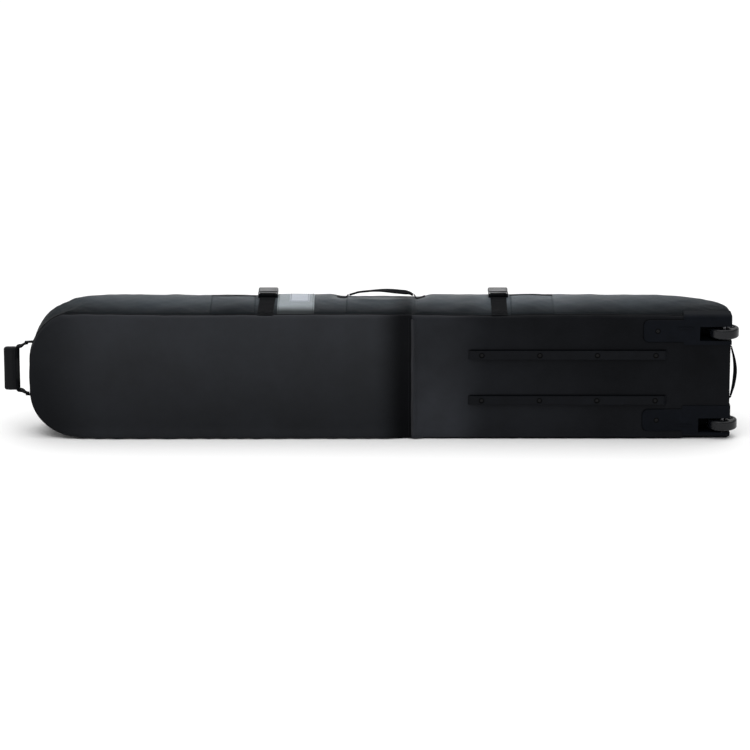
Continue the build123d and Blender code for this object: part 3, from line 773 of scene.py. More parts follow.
def linings():
    """Inside faces of shell and lid, and the strips that close the padding at the opening."""
    grid = quilted(inner, inner_normal)
    inner_zones = lid_zones(inner)
    shell = cut_for_wheels(panel("shell_lining", grid, inner_zones == 0))
    padding = ("base_foam_nose", "base_foam_tail", "upper_gusset_foam", "lower_gusset_foam", "nose_foam",
               "base_stiffener_board", "tail_stiffener")
    dress(shell, "lining", record_slot="foam", replaces=padding, fill=0.8)
    flip(shell)
    lid = panel("lid_lining", grid, inner_zones == 4)
    dress(lid, "lining", body="lid", record_slot="foam", replaces=("lid_foam",), fill=0.8)
    flip(lid)
    rim("shell_opening_rim", 1, "shell")
    rim("lid_edge_rim", 4, "lid")


def flip(piece):
    mesh = bmesh.new()
    mesh.from_mesh(piece.data)
    bmesh.ops.reverse_faces(mesh, faces=mesh.faces)
    mesh.to_mesh(piece.data)
    mesh.free()


def opening_path(grid, level):
    """Closed line round the opening along one of the zip lines, as grid points."""
    line = TAPE_LINES[level - 1]
    xs = grid[:, LID_EDGE[level], 0]
    body_rows = [i for i in range(len(xs)) if abs(outer_x(grid, i)) <= OPENING_X - line + 1e-6]
    upper, lower = LID_EDGE[level], LID_EDGE[-1 - level]
    path = [(i, upper) for i in body_rows]
    path += [(body_rows[-1], j) for j in range(upper + 1, lower)]
    path += [(i, lower) for i in reversed(body_rows)]
    path += [(body_rows[0], j) for j in range(lower - 1, upper, -1)]
    return path


def outer_x(grid, row):
    return grid[row, MARK["lid"], 0]


def rim(name, level, body):
    """Strip between the outer cloth and the lining, all round one side of the opening."""
    out_path = [cloth[i, j] for i, j in opening_path(outer, level)]
    in_path = [inner[i, j] for i, j in opening_path(inner, level)]
    count = 700
    first = resample_closed(np.array(out_path), count)
    second = resample_closed(np.array(in_path), count)
    steps = 4
    rows = [first + (second - first) * k / steps for k in range(steps + 1)]
    vertices = np.concatenate(rows)
    faces = []
    for k in range(steps):
        for i in range(count):
            j = (i + 1) % count
            faces.append((k * count + i, k * count + j, (k + 1) * count + j, (k + 1) * count + i))
    along = arc_lengths(first)
    uvs = np.concatenate([np.column_stack([along, np.full(count, 0.002 * k)]) for k in range(steps + 1)])
    piece = new_object(name, vertices, faces, uvs)
    dress(piece, "binding", body=body, record_slot="piping")


def resample_closed(points, count):
    """Even points along a closed line, starting at its leftmost upper point."""
    closed = np.vstack([points, points[:1]])
    lengths = arc_lengths(closed)
    return columns_at(np.linspace(0, lengths[-1], count, endpoint=False), lengths, closed)


outer_cloth()
linings()

# ---------------------------------------------------------------- laying trim on the cloth
cloth_normal = grid_normals(cloth)
CAP_ROWS = 6
body_rows = slice(CAP_ROWS, cloth.shape[0] - CAP_ROWS)
row_x = outer[body_rows, 0, 0]


def blend_rows(field, x):
    """Rows of a grid field at any x, between the nearest stations."""
    at = np.interp(x, row_x, np.arange(len(row_x)))
    first = np.floor(at).astype(int)
    second = np.minimum(first + 1, len(row_x) - 1)
    part = (at - first)[:, None, None]
    rows = field[body_rows]
    return rows[first] * (1 - part) + rows[second] * part


def along_section(xs, vs, lift):
    """Cloth points at distances vs round the section, measured from the base seam, raised by lift."""
    xs, vs = np.atleast_1d(xs), np.atleast_1d(vs)
    lift = np.broadcast_to(lift, (len(xs), len(vs)))
    points, normals = blend_rows(cloth, xs), blend_rows(cloth_normal, xs)
    result = np.empty((len(xs), len(vs), 3))
    for i in range(len(xs)):
        run = points[i, : LID_EDGE[-1]]
        arc = arc_lengths(run)
        arc -= arc[MARK["top"]]
        normal = unit(columns_at(vs, arc, normals[i, : LID_EDGE[-1]]))
        result[i] = columns_at(vs, arc, run) + normal * lift[i][:, None]
    return result


def on_base_face(xs, zs, lift):
    """Cloth points on the base at given x and z, raised by lift."""
    last = MARK["top_corner"] + 1
    points = blend_rows(cloth[:, :last], np.atleast_1d(xs))
    normals = blend_rows(cloth_normal[:, :last], np.atleast_1d(xs))
    zs = np.atleast_1d(zs)
    result = np.empty((len(points), len(zs), 3))
    for i in range(len(points)):
        at = points[i, :, 2]
        result[i] = columns_at(zs, at, points[i]) + unit(columns_at(zs, at, normals[i])) * lift
    return result


def closed_sheet(name, top, bottom, uv_first, uv_second, turned=False):
    """Thin closed piece between two grids of the same size."""
    n, m = top.shape[:2]
    vertices = np.concatenate([top.reshape(-1, 3), bottom.reshape(-1, 3)])
    faces = []
    for i in range(n - 1):
        for j in range(m - 1):
            a = i * m + j
            faces.append((a, a + m, a + m + 1, a + 1))
            b = n * m + a
            faces.append((b, b + 1, b + m + 1, b + m))
    edge = [j for j in range(m)] + [i * m + m - 1 for i in range(1, n)]
    edge += [(n - 1) * m + j for j in range(m - 2, -1, -1)] + [i * m for i in range(n - 2, 0, -1)]
    for k, a in enumerate(edge):
        b = edge[(k + 1) % len(edge)]
        faces.append((a, b, b + n * m, a + n * m))
    u, v = np.meshgrid(uv_first, uv_second, indexing="ij")
    pair = (v, u) if turned else (u, v)
    uvs = np.column_stack([pair[0].ravel(), pair[1].ravel()])
    piece = new_object(name, vertices, faces, np.concatenate([uvs, uvs]))
    fix_normals(piece)
    return piece


def fix_normals(piece):
    mesh = bmesh.new()
    mesh.from_mesh(piece.data)
    bmesh.ops.recalc_face_normals(mesh, faces=mesh.faces)
    mesh.to_mesh(piece.data)
    mesh.free()


def rounded_edge(count, thin):
    """Share of full height across a patch: low at both edges, full inside."""
    t = np.linspace(0, 1, count)
    edge = np.minimum(t, 1 - t) * (count - 1)
    return thin + (1 - thin) * np.clip(edge / 1.5, 0, 1) ** 0.5


def patch(name, x0, x1, v0, v1, lift, thick, look, puff=0.0, **dressing):
    """Piece of cloth sewn onto the upper side, following the cloth under it."""
    nx, nv = max(6, int((x1 - x0) / 0.0022)), max(8, int((v1 - v0) / 0.003))
    xs, vs = np.linspace(x0, x1, nx), np.linspace(v0, v1, nv)
    height = np.outer(rounded_edge(nx, 0.35), rounded_edge(nv, 0.35)) * thick
    swell = np.outer(np.sin(np.linspace(0, math.pi, nx)), np.sin(np.linspace(0, math.pi, nv)))
    top = along_section(xs, vs, lift + height + puff * swell)
    bottom = along_section(xs, vs, lift - 0.0003)
    piece = closed_sheet(name, top, bottom, xs, vs)
    return dress(piece, look, **dressing)


def section_v(x, y):
    """Distance round the section, from the base seam, of the cloth point on top at a given y."""
    run = blend_rows(cloth, np.atleast_1d(x))[0][MARK["top"]: MARK["lid"]]
    return float(np.interp(y, run[:, 1], arc_lengths(run)))


# ---------------------------------------------------------------- swept bands and cords
def sweep(name, path, side, half_width, half_thick, look, power=4.0, ring=20, **dressing):
    """Band of rounded cross-section along a path; side is the direction of its width, one or per point."""
    path = np.asarray(path, float)
    side = np.broadcast_to(np.asarray(side, float), path.shape)
    count = len(path)
    half_width = np.broadcast_to(half_width, count)
    half_thick = np.broadcast_to(half_thick, count)
    tangent = unit(np.gradient(path, axis=0))
    side = unit(side - tangent * np.sum(side * tangent, axis=1, keepdims=True))
    up = np.cross(tangent, side)
    angle = np.linspace(0, 2 * math.pi, ring, endpoint=False)
    c, d = np.cos(angle), np.sin(angle)
    across = np.sign(c) * np.abs(c) ** (2 / power)
    through = np.sign(d) * np.abs(d) ** (2 / power)
    grid = path[:, None] + side[:, None] * (across * half_width[:, None])[..., None]
    grid = grid + up[:, None] * (through * half_thick[:, None])[..., None]
    along = np.repeat(arc_lengths(path)[:, None], ring, 1)
    uvs = np.stack([along, across[None] * half_width[:, None]], axis=2)
    faces = []
    for i in range(count - 1):
        for j in range(ring):
            k = (j + 1) % ring
            faces.append((i * ring + j, (i + 1) * ring + j, (i + 1) * ring + k, i * ring + k))
    faces.append(tuple(range(ring)))
    faces.append(tuple((count - 1) * ring + j for j in reversed(range(ring))))
    piece = new_object(name, grid.reshape(-1, 3), faces, uvs.reshape(-1, 2))
    fix_normals(piece)
    return dress(piece, look, **dressing)


def smooth_path(points, count):
    """Even points on a smooth curve through a few guide points."""
    points = np.asarray(points, float)
    padded = np.vstack([2 * points[0] - points[1], points, 2 * points[-1] - points[-2]])
    curve = []
    for k in range(1, len(padded) - 2):
        p0, p1, p2, p3 = padded[k - 1: k + 3]
        for t in np.linspace(0, 1, 24, endpoint=False):
            a = 2 * p1 + (p2 - p0) * t
            b = (2 * p0 - 5 * p1 + 4 * p2 - p3) * t * t
            c = (3 * p1 - p0 - 3 * p2 + p3) * t ** 3
            curve.append((a + b + c) / 2)
    curve.append(padded[-2])
    return resample(np.array(curve), count)


def resample(points, count):
    """Even steps along a line; columns after the third follow their points."""
    keep = np.concatenate([[True], np.linalg.norm(np.diff(points[:, :3], axis=0), axis=1) > 1e-7])
    points = points[keep]
    lengths = arc_lengths(points[:, :3])
    return columns_at(np.linspace(0, lengths[-1], count), lengths, points)


def stitch_mesh(name, lines, pitch=0.0042, length=0.0028, record_slot="piping", **dressing):
    """Rows of separate stitches: each line is (points, normals), the normals one or per point."""
    radius = 0.00038
    vertices, faces = [], []
    for points, normals in lines:
        normals = np.broadcast_to(normals, np.shape(points))
        both = resample(np.hstack([points, normals]), max(2, int(path_length(points) / pitch)))
        place, normal = both[:, :3], both[:, 3:]
        way = np.gradient(place, axis=0)
        way /= np.maximum(np.linalg.norm(way, axis=1, keepdims=True), 1e-9)
        normal = normal / np.maximum(np.linalg.norm(normal, axis=1, keepdims=True), 1e-9)
        across = np.cross(way, normal)
        for p, w, n, a in zip(place, way, normal, across):
            start = len(vertices)
            for end, size in ((-0.5, 0.35), (-0.25, 1.0), (0.25, 1.0), (0.5, 0.35)):
                middle = p + w * length * end + n * radius * 0.35
                for turn in range(6):
                    t = turn * math.pi / 3
                    vertices.append(middle + (a * math.cos(t) + n * math.sin(t)) * radius * size)
            for step in range(3):
                for turn in range(6):
                    i = start + step * 6 + turn
                    j = start + step * 6 + (turn + 1) % 6
                    faces.append((i, j, j + 6, i + 6))
            faces.append(tuple(start + k for k in reversed(range(6))))
            faces.append(tuple(start + 18 + k for k in range(6)))
    piece = new_object(name, vertices, faces)
    fix_normals(piece)
    return dress(piece, "thread", record_slot=record_slot, **dressing)


def path_length(points):
    return float(np.linalg.norm(np.diff(points, axis=0), axis=1).sum())


# ---------------------------------------------------------------- seams, piping and binding
def seam_path(upper_column, lower_column, upper_end, lower_end, lift):
    """Line beside the base seam: along the upper side, round the nose tip and back below."""
    upper = (row_x < upper_end).nonzero()[0][::-1]
    lower = (row_x < lower_end).nonzero()[0]
    places, normals = cloth[body_rows], cloth_normal[body_rows]
    p = np.vstack([places[upper, upper_column], places[lower, lower_column]])
    n = np.vstack([normals[upper, upper_column], normals[lower, lower_column]])
    n = unit(n)
    turn = len(upper)
    tip = np.linspace(p[turn - 1], p[turn], 14)[1:-1]
    tip[:, 0] -= 0.0012 * np.sin(np.linspace(0, math.pi, 12))
    outward = np.broadcast_to((-0.7, -0.7, 0.0), (12, 3))
    p = np.vstack([p[:turn], tip, p[turn:]])
    n = np.vstack([n[:turn], outward, n[turn:]])
    return p + n * lift, n


def piping():
    path, normals = seam_path(MARK["top"], MARK["foot"] + 3, HOUSING_X, HOUSING_X, 0.0006)
    both = resample(np.hstack([path, normals]), int(path_length(path) / 0.006))
    sweep("base_piping_cord", both[:, :3], both[:, 3:], 0.0013, 0.0013, "piping", power=2.0, ring=10,
          replaces=("base_piping",))
    outer_line = seam_path(MARK["top"] + 3, MARK["floor"] + 27, HOUSING_X - 0.004, HOUSING_X - 0.004, 0.0)
    outer_line[0][:, 2] = np.maximum(outer_line[0][:, 2], 0.0008)
    stitch_mesh("base_seam_stitches", [outer_line])


def fold_binding():
    zs = np.linspace(0.010, 0.3030, 94)
    offsets = np.linspace(-0.0032, 0.0032, 9)
    crown = 0.0016 * (1 - (offsets / 0.0036) ** 2) ** 0.5
    hem = on_base_face(np.array([FOLD_X + 0.002]), zs, 0.0)[0]
    wander = 0.0006 * np.sin(zs * 60)[:, None] * [1, 0, 0]
    top = np.array([hem + np.array([d, -c - 0.0004, 0]) + wander for d, c in zip(offsets, crown)])
    bottom = np.array([hem + np.array([d, 0.0030, 0]) for d in offsets])
    piece = closed_sheet("fold_seam_binding", top, bottom, offsets, zs, turned=True)
    dress(piece, "binding", record_slot="piping", replaces=("fold_binding",))
    lines = []
    for x in (FOLD_X - 0.0075, FOLD_X + 0.0085, FOLD_X + 0.0125):
        lines.append((on_base_face(np.array([x]), zs, 0.0002)[0], (0, -1, 0)))
    stitch_mesh("fold_seam_stitches", lines)


piping()
fold_binding()


# ---------------------------------------------------------------- trim on the upper side
def edge_stitches(name, x0, x1, v0, v1, lift, sides="lrtb"):
    """Stitch rows a little inside the edges of a patch."""
    gap = 0.0035
    lines = []
    xs, vs = np.linspace(x0 + gap, x1 - gap, 24), np.linspace(v0 + gap, v1 - gap, 24)
    runs = {"l": ([xs[0]], vs), "r": ([xs[-1]], vs), "b": (xs, [vs[0]]), "t": (xs, [vs[-1]])}
    for side in sides:
        run_x, run_v = runs[side]
        points = along_section(np.array(run_x), np.array(run_v), lift).reshape(-1, 3)
        above = along_section(np.array(run_x), np.array(run_v), lift + 0.001).reshape(-1, 3)
        lines.append((points, above - points))
    stitch_mesh(name, lines)


def gusset_trim():
    seam, crest = 0.0015, 0.176
    x0, x1 = node_span("grey_band")
    patch("light_band", x0, x1, seam, crest, 0.0002, 0.0009, "grey_fabric", replaces=("grey_band",))
    edge_stitches("light_band_stitches", x0, x1, seam, crest, 0.0012, "lr")
    x0, x1 = node_span("blank_label")
    v0, v1 = section_v(x0, -0.012), section_v(x0, 0.072)
    patch("blank_patch", x0, x1, v0, v1, 0.0011, 0.0008, "label", replaces=("blank_label",))
    edge_stitches("blank_patch_stitches", x0, x1, v0, v1, 0.0020)
    for end in ENDS:
        x0, x1 = node_span(end + "_stow_pocket")
        v0, v1 = seam + 0.002, section_v(x0, 0.052)
        patch(end + "_pocket_cloth", x0, x1, v0, v1, 0.0002, 0.0012, "slate_fabric", puff=0.0022,
              replaces=(end + "_stow_pocket",))
        patch(end + "_pocket_hem", x0, x1, v1 - 0.011, v1 + 0.001, 0.0016, 0.0010, "piping", puff=0.0012)
        edge_stitches(end + "_pocket_stitches", x0, x1, v0, v1, 0.0016, "lr")
    x0, x1 = node_span("handle_patch")
    patch("handle_backing", x0, x1, seam, crest, 0.0002, 0.0009, "slate_fabric", replaces=("handle_patch",))
    edge_stitches("handle_backing_stitches", x0, x1, seam, crest, 0.0013, "lr")


def node_span(node):
    low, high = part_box(node)
    return low.x, high.x


STRAP_BAND = dict(half_width=STRAP_HALF, half_thick=WEBBING / 2, look="webbing", power=7, ring=28)
TACK_TOP = 0.015


def gusset_strap(end):
    """Webbing from the base seam over the crest, up to the bar of the buckle plug."""
    x = STRAP_X[end]
    lean = 0.002 if end == "nose" else 0.0
    low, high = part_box(end + "_buckle_plug")
    bar_y, bar_z = low.y + 0.0025, (low.z + high.z) / 2
    vs = np.linspace(-0.004, section_v(x, 0.006), 60)
    lying = along_section(np.array([x]), vs, WEBBING / 2 + 0.0003)[0]
    guide = [lying[-1], (x, bar_y - 0.013, lying[-1][2] + 0.0022), (x, bar_y - 0.0035, bar_z - 0.0045),
             (x, bar_y - 0.0035, bar_z + 0.003), (x, bar_y + 0.001, bar_z + 0.006)]
    path = np.vstack([lying, smooth_path(guide, 22)[1:]])
    path[:, 0] -= lean * np.linspace(2, 0, len(path))
    piece = sweep(end + "_gusset_webbing", path, (1, 0, 0), **STRAP_BAND, body=None,
                  replaces=(end + "_gusset_strap",))
    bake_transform(piece)
    first, lift = vs[3] + 0.001, WEBBING + 0.0006

    def on_cloth(across, share):
        return along_section(x + across, first + TACK_TOP * share, lift)[0, 0]

    sewn_box(end + "_strap_tack", on_cloth, (0, 0, 1))


def sewn_box(name, place, normal, **dressing):
    """Sewn rectangle with a cross in it; place gives a point from its offset across and share of height."""
    corners = [(-TACK_TOP, 0), (TACK_TOP, 0), (TACK_TOP, 1), (-TACK_TOP, 1)]
    runs = [(corners[k], corners[(k + 1) % 4]) for k in range(4)]
    runs += [(corners[0], corners[2]), (corners[1], corners[3])]
    lines = [(np.array([place(*at) for at in np.linspace(a, b, 8)]), normal) for a, b in runs]
    stitch_mesh(name, lines, pitch=0.0026, length=0.0022, **dressing)


def lid_strap(end):
    """Webbing from the back of the buckle socket, over the edge and sewn down on the lid."""
    x = STRAP_X[end]
    socket_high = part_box(end + "_buckle_socket")[1]
    strap_low, strap_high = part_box(end + "_lid_strap")
    back, face, low = socket_high.y, strap_high.y - WEBBING / 2, strap_low.z
    z = socket_high.z
    on_lid = LID_Y + 0.0014
    guide = [(x, back + 0.0010, z - 0.0035), (x, back + 0.0042, z - 0.010), (x, face - 0.0026, z - 0.022),
             (x, face, z - 0.034), (x, face, low + 0.034), (x, on_lid, low + 0.022), (x, on_lid, low)]
    sweep(end + "_lid_webbing", smooth_path(guide, 80), (1, 0, 0), **STRAP_BAND, body="lid",
          replaces=(end + "_lid_strap",))

    def on_strap(across, share):
        return x + across, on_lid + WEBBING / 2, low + 0.003 + 0.016 * share

    sewn_box(end + "_lid_tack", on_strap, (0, 1, 0), body="lid")


gusset_trim()
for end in ENDS:
    gusset_strap(end)
    lid_strap(end)


# ---------------------------------------------------------------- handles
def turned_side(first, second, share):
    """Width direction turning from one direction to another along a path."""
    angle = np.asarray(share) * math.pi / 2
    return np.cos(angle)[:, None] * np.array(first) + np.sin(angle)[:, None] * np.array(second)


def carry_handle():
    low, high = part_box("carry_handle")
    y = (low.y + high.y) / 2
    foot, top = low.z - 0.0007, high.z - 0.0062
    guide = [(low.x, y, foot), (low.x + 0.012, y, foot + 0.0036), (low.x + 0.028, y, top - 0.0035),
             ((low.x + high.x) / 2, y, top), (high.x - 0.030, y, top - 0.0035),
             (high.x - 0.010, y, foot + 0.0050), (high.x, y, foot)]
    path = smooth_path(guide, 90)
    t = np.linspace(0, 1, 90)
    twist = 0.08 - 0.26 * smooth_step(t, 0.30, 0.75)
    middle = smooth_step(t, 0.03, 0.2) * (1 - smooth_step(t, 0.86, 0.98))
    side = turned_side((0, 1, 0), (0, 0, -1), twist)
    sweep("carry_webbing", path, side, 0.0042 + 0.0046 * middle, 0.0022 - 0.0003 * middle, "webbing",
          power=6, ring=24, body="carry", replaces=("carry_handle",))
    for name, x, way in (("left", low.x, -1), ("right", high.x, 1)):
        xs = x + way * np.linspace(0.0, 0.030, 16)
        lying = along_section(xs, np.array([section_v(x, y)]), 0.0010)[:, 0]
        lying[:, 1] = y
        path = np.vstack([[(x + way * 0.0019, y, foot), (x + way * 0.0044, y, foot - 0.0006)], lying[4:]])
        tab_width = np.linspace(0.0042, 0.012, len(path))
        sweep("carry_tab_" + name, path, (0, 1, 0), tab_width, 0.0010, "webbing", power=6,
              replaces=("carry_handle_anchors",))


def tail_handle():
    low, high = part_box("tail_handle")
    y = (low.y + high.y) / 2
    root, out = low.x + 0.0016, high.x - 0.0022
    guide = [(root, y, low.z), (root + 0.0022, y, low.z + 0.008), (out - 0.003, y, low.z + 0.026),
             (out, y, low.z + 0.052), (out, y, high.z - 0.046), (out - 0.003, y, high.z - 0.024),
             (root + 0.0022, y, high.z - 0.008), (root, y, high.z)]
    path = smooth_path(guide, 80)
    t = np.linspace(0, 1, 80)
    width = 0.0058 + 0.0060 * smooth_step(t, 0.04, 0.22) * (1 - smooth_step(t, 0.78, 0.96))
    thick = 0.0020 + 0.0022 * bump_at(t, 0.5, 0.34)
    sweep("tail_webbing", path, (0, 1, 0), width, thick, "webbing", power=4, ring=24, body="tail_grab",
          replaces=("tail_handle",))
    for name, z, way in (("lower", low.z, -1), ("upper", high.z, 1)):
        guide = [(root, y, z + way * 0.0026), (root - 0.001, y, z + way * 0.0042),
                 (root - 0.006, y, z + way * 0.007), (root - 0.012, y, z + way * 0.0085)]
        sweep("tail_tab_" + name, smooth_path(guide, 16), (0, 1, 0), 0.0060, 0.0016, "webbing", power=6,
              replaces=("tail_handle_anchors",))


def haul_loop():
    low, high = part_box("haul_webbing")
    grip_low, grip_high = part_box("haul_grip")
    y = (low.y + high.y) / 2
    axis_x = high.x - 0.009
    middle = (grip_low.x + grip_high.x) / 2
    ends = {"lower": (low.z + 0.002, grip_low.z, -1), "upper": (high.z - 0.002, grip_high.z, 1)}
    for name, (leg_z, grip_z, way) in ends.items():
        inside_x = grip_high.x - 0.0065
        guide = [(axis_x + 0.004, y, leg_z), (axis_x - 0.004, y, leg_z - way * 0.0012),
                 (axis_x - 0.012, y, leg_z - way * 0.0065), (inside_x + 0.001, y, grip_z + way * 0.0005),
                 (inside_x, y, grip_z - way * 0.012), (inside_x, y, grip_z - way * 0.024)]
        path = smooth_path(guide, 48)
        t = np.linspace(0, 1, 48)
        width = 0.0085 + 0.0045 * smooth_step(t, 0.05, 0.35)
        thick = 0.0016 + 0.0012 * smooth_step(t, 0.10, 0.45)
        sweep("haul_leg_" + name, path, (0, 1, 0), width, thick, "webbing", power=5, ring=24, body="haul",
              replaces=("haul_webbing",))
        haul_tab(name, axis_x, y, leg_z, way)
    haul_grip(middle, y, grip_low, grip_high)


def haul_tab(name, axis_x, y, leg_z, way):
    """Stub of folded webbing sewn into the nose, just outside the leg it holds."""
    wall = float(np.interp(leg_z, [0.12, 0.187, 0.25], [-0.840, -0.840, -0.826]))
    z = leg_z + way * 0.0034
    guide = [(wall + 0.012, y, z + way * 0.0012), (wall, y, z + way * 0.0006),
             (axis_x + 0.004, y, z), (axis_x - 0.004, y, z)]
    sweep("haul_tab_" + name, smooth_path(guide, 20), (0, 1, 0), 0.0085, np.linspace(0.0021, 0.0008, 20),
          "webbing", power=6, replaces=("haul_anchors",))
    pin_path = np.linspace((axis_x, y, leg_z - way * 0.0018), (axis_x, y, z + way * 0.0017), 6)
    sweep("haul_rivet_" + name, pin_path, (1, 0, 0), 0.0026, 0.0026, "screw_steel", power=2, ring=16)


def haul_grip(middle, y, low, high):
    """Padded sleeve folded round the webbing, its free edge overlapping on the inner side."""
    rows, ring = 60, 48
    angle = np.linspace(0, 2 * math.pi, ring, endpoint=False)
    c, d = np.cos(angle), np.sin(angle)
    half_x, half_y = (high.x - low.x) / 2, (high.y - low.y) / 2 - 0.001
    zs = np.linspace(low.z, high.z, rows)
    t = (zs - low.z) / (high.z - low.z)
    end_round = 1 - np.clip(np.abs(2 * t - 1) * rows / 2 - (rows / 2 - 2.5), 0, 2.5) ** 2 * 0.022
    grid = np.empty((rows, ring, 3))
    for i, z in enumerate(zs):
        soft = 1 + 0.02 * math.sin(9 * t[i] + 1) - 0.03 * bump_at(t[i], 0.5, 0.25)
        across = np.sign(c) * np.abs(c) ** 0.55 * half_x * end_round[i]
        through = np.sign(d) * np.abs(d) ** 0.7 * half_y * end_round[i] * soft
        through += 0.0006 * np.sin(across * 420 + 6 * t[i])
        grid[i] = np.column_stack([middle + across, y + through, np.full(ring, z)])
    faces = []
    for i in range(rows - 1):
        for j in range(ring):
            k = (j + 1) % ring
            faces.append((i * ring + j, i * ring + k, (i + 1) * ring + k, (i + 1) * ring + j))
    faces.append(tuple(reversed(range(ring))))
    faces.append(tuple((rows - 1) * ring + j for j in range(ring)))
    around = arc_lengths(grid[rows // 2])
    uvs = np.stack(np.meshgrid(zs, around, indexing="ij"), axis=2).reshape(-1, 2)
    piece = new_object("haul_grip_sleeve", grid.reshape(-1, 3), faces, uvs)
    fix_normals(piece)
    dress(piece, "grip_cloth", body="haul", record_slot="black_fabric", replaces=("haul_grip",), fill=0.7)
    edge_x, edge_y = middle + 0.0065, y - half_y - 0.0010
    flap = np.linspace((edge_x, edge_y, low.z + 0.003), (edge_x, edge_y, high.z - 0.003), 30)
    sweep("haul_grip_edge", flap, (1, 0, 0), 0.0035, 0.0009, "piping", power=5, body="haul")
    lines = []
    for z in (low.z + 0.006, high.z - 0.006):
        xs = np.linspace(middle - half_x * 0.8, middle + half_x * 0.8, 12)
        row = np.column_stack([xs, np.full(12, y - half_y * 0.98 - 0.0004), np.full(12, z)])
        lines.append((row, (0, -1, 0)))
    stitch_mesh("haul_grip_stitches", lines, body="haul")


carry_handle()
tail_handle()
haul_loop()


# ---------------------------------------------------------------- zip
def zip_line(level):
    """Points and outward normals of one zip line: up one end, along the top and down the other end."""
    steps = [(i, j) for i, j in opening_path(outer, level) if cloth[i, j][2] > HINGE_SIDE_Z]
    points = np.array([cloth[i, j] for i, j in steps])
    normals = np.array([cloth_normal[i, j] for i, j in steps])
    gaps = np.linalg.norm(np.diff(np.vstack([points, points[:1]]), axis=0), axis=1)
    start = int(np.argmax(gaps)) + 1
    return np.roll(points, -start, axis=0), np.roll(normals, -start, axis=0)


# half length along the zip, reach over the gap and height of each corner of a coil loop
COIL_SECTION = ((0.00045, -0.0022, 0.0002), (0.00045, 0.0006, 0.0002), (0.000405, 0.0006, 0.0013),
                (0.000405, -0.0020, 0.0013))


def zip_coil(name, level, inward, body, offset):
    """Row of coil loops standing on one tape edge and reaching over the gap."""
    points, normals = zip_line(level)
    pitch = 0.0026
    both = resample(np.hstack([points, normals]), int(path_length(points) / pitch))
    place, normal = both[:, :3], both[:, 3:]
    way = unit(np.gradient(place, axis=0))
    across = unit(np.cross(normal, way) * inward)
    vertices, faces = [], []
    for p, w, n, a in zip(place, way, normal, across):
        start = len(vertices)
        p = p + w * offset
        for half, reach, rise in COIL_SECTION:
            for end in (-1, 1):
                vertices.append(p + w * half * end + a * reach + n * rise)
        for quad in ((0, 2, 4, 6), (1, 7, 5, 3), (0, 1, 3, 2), (2, 3, 5, 4), (4, 5, 7, 6), (6, 7, 1, 0)):
            faces.append(tuple(start + k for k in quad))
    piece = new_object(name, vertices, faces, smooth=False)
    fix_normals(piece)
    dress(piece, "coil", body=body, record_slot="zip_tape")
    rail = place + normal * 0.0001 - across * 0.0050
    stitch_mesh(name + "_stitches", [(rail, normal)], record_slot="zip_tape", body=body)


zip_coil("shell_zip_coil", 2, 1, "shell", 0.0)
zip_coil("lid_zip_coil", 3, -1, "lid", 0.0013)


def on_lid_face(xs, zs, lift):
    """Cloth points on the lid side at given x and z, raised by lift."""
    points = blend_rows(cloth[:, MARK["lid"]: MARK["floor"]], xs)[:, ::-1]
    result = np.empty((len(xs), len(zs), 3))
    for i, x in enumerate(xs):
        y = np.interp(zs, points[i, :, 2], points[i, :, 1])
        result[i] = np.column_stack([np.full(len(zs), x), y + lift, zs])
    return result


def hinge_cloth():
    """Strip of cloth along the lid's lower side, over the hinge."""
    xs, zs = np.linspace(-0.712, 0.752, 240), np.linspace(0.0065, 0.0365, 22)
    thick = np.outer(rounded_edge(240, 0.4), rounded_edge(22, 0.4)) * 0.0009
    top, bottom = on_lid_face(xs, zs, 0.0), on_lid_face(xs, zs, -0.0002)
    top[..., 1] += thick
    piece = closed_sheet("hinge_cloth", top, bottom, xs, zs)
    dress(piece, "slate_fabric", body=None)
    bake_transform(piece)
    for name, z, body in (("shell", 0.0095, "shell"), ("lid", 0.0335, "lid")):
        line = on_lid_face(xs[4:-4], np.array([z]), 0.0010)[:, 0]
        stitch_mesh("hinge_stitches_" + name, [(line, (0, 1, 0))], body=body)


hinge_cloth()


# ---------------------------------------------------------------- moulded parts from the frame
# material, width of the eased edges and the CAD nodes that keep their shape
REPAINTS = (
    ("skid_plastic", 0.0007, ("upper_skid_rail", "lower_skid_rail")),
    ("housing_plastic", 0.0014, ("upper_wheel_housing", "lower_wheel_housing")),
    ("screw_steel", None, ("skid_screws", "housing_screws")),
    ("tyre", None, ("upper_tyre", "lower_tyre")),
    ("hub_plastic", 0.0006, ("upper_hub", "lower_hub")),
    ("bearing_steel", None, ("upper_bearings", "lower_bearings", "wheel_axles")),
    ("buckle_plastic", 0.0008, ("nose_buckle_socket", "tail_buckle_socket")),
    ("buckle_plastic", 0.0008, ("nose_buckle_plug", "tail_buckle_plug", "inner_strap_buckles")),
    ("zip_metal", 0.0003, ("nose_zip_slider", "tail_zip_slider")),
    ("pull_rubber", 0.0004, ("nose_zip_pull", "tail_zip_pull")),
)


def repaint(node, look, bevel):
    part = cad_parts[node]
    part.data.materials.clear()
    part.data.materials.append(LOOKS[look])
    if bevel:
        edge = part.modifiers.new("eased_edges", "BEVEL")
        edge.width, edge.segments = bevel, 3
        edge.limit_method, edge.angle_limit = "ANGLE", math.radians(40)
        edge.harden_normals = False
        part.data.polygons.foreach_set("use_smooth", [True] * len(part.data.polygons))
        part.modifiers.new("faces", "WEIGHTED_NORMAL").keep_sharp = True


for look, bevel, nodes in REPAINTS:
    for node in nodes:
        repaint(node, look, bevel)


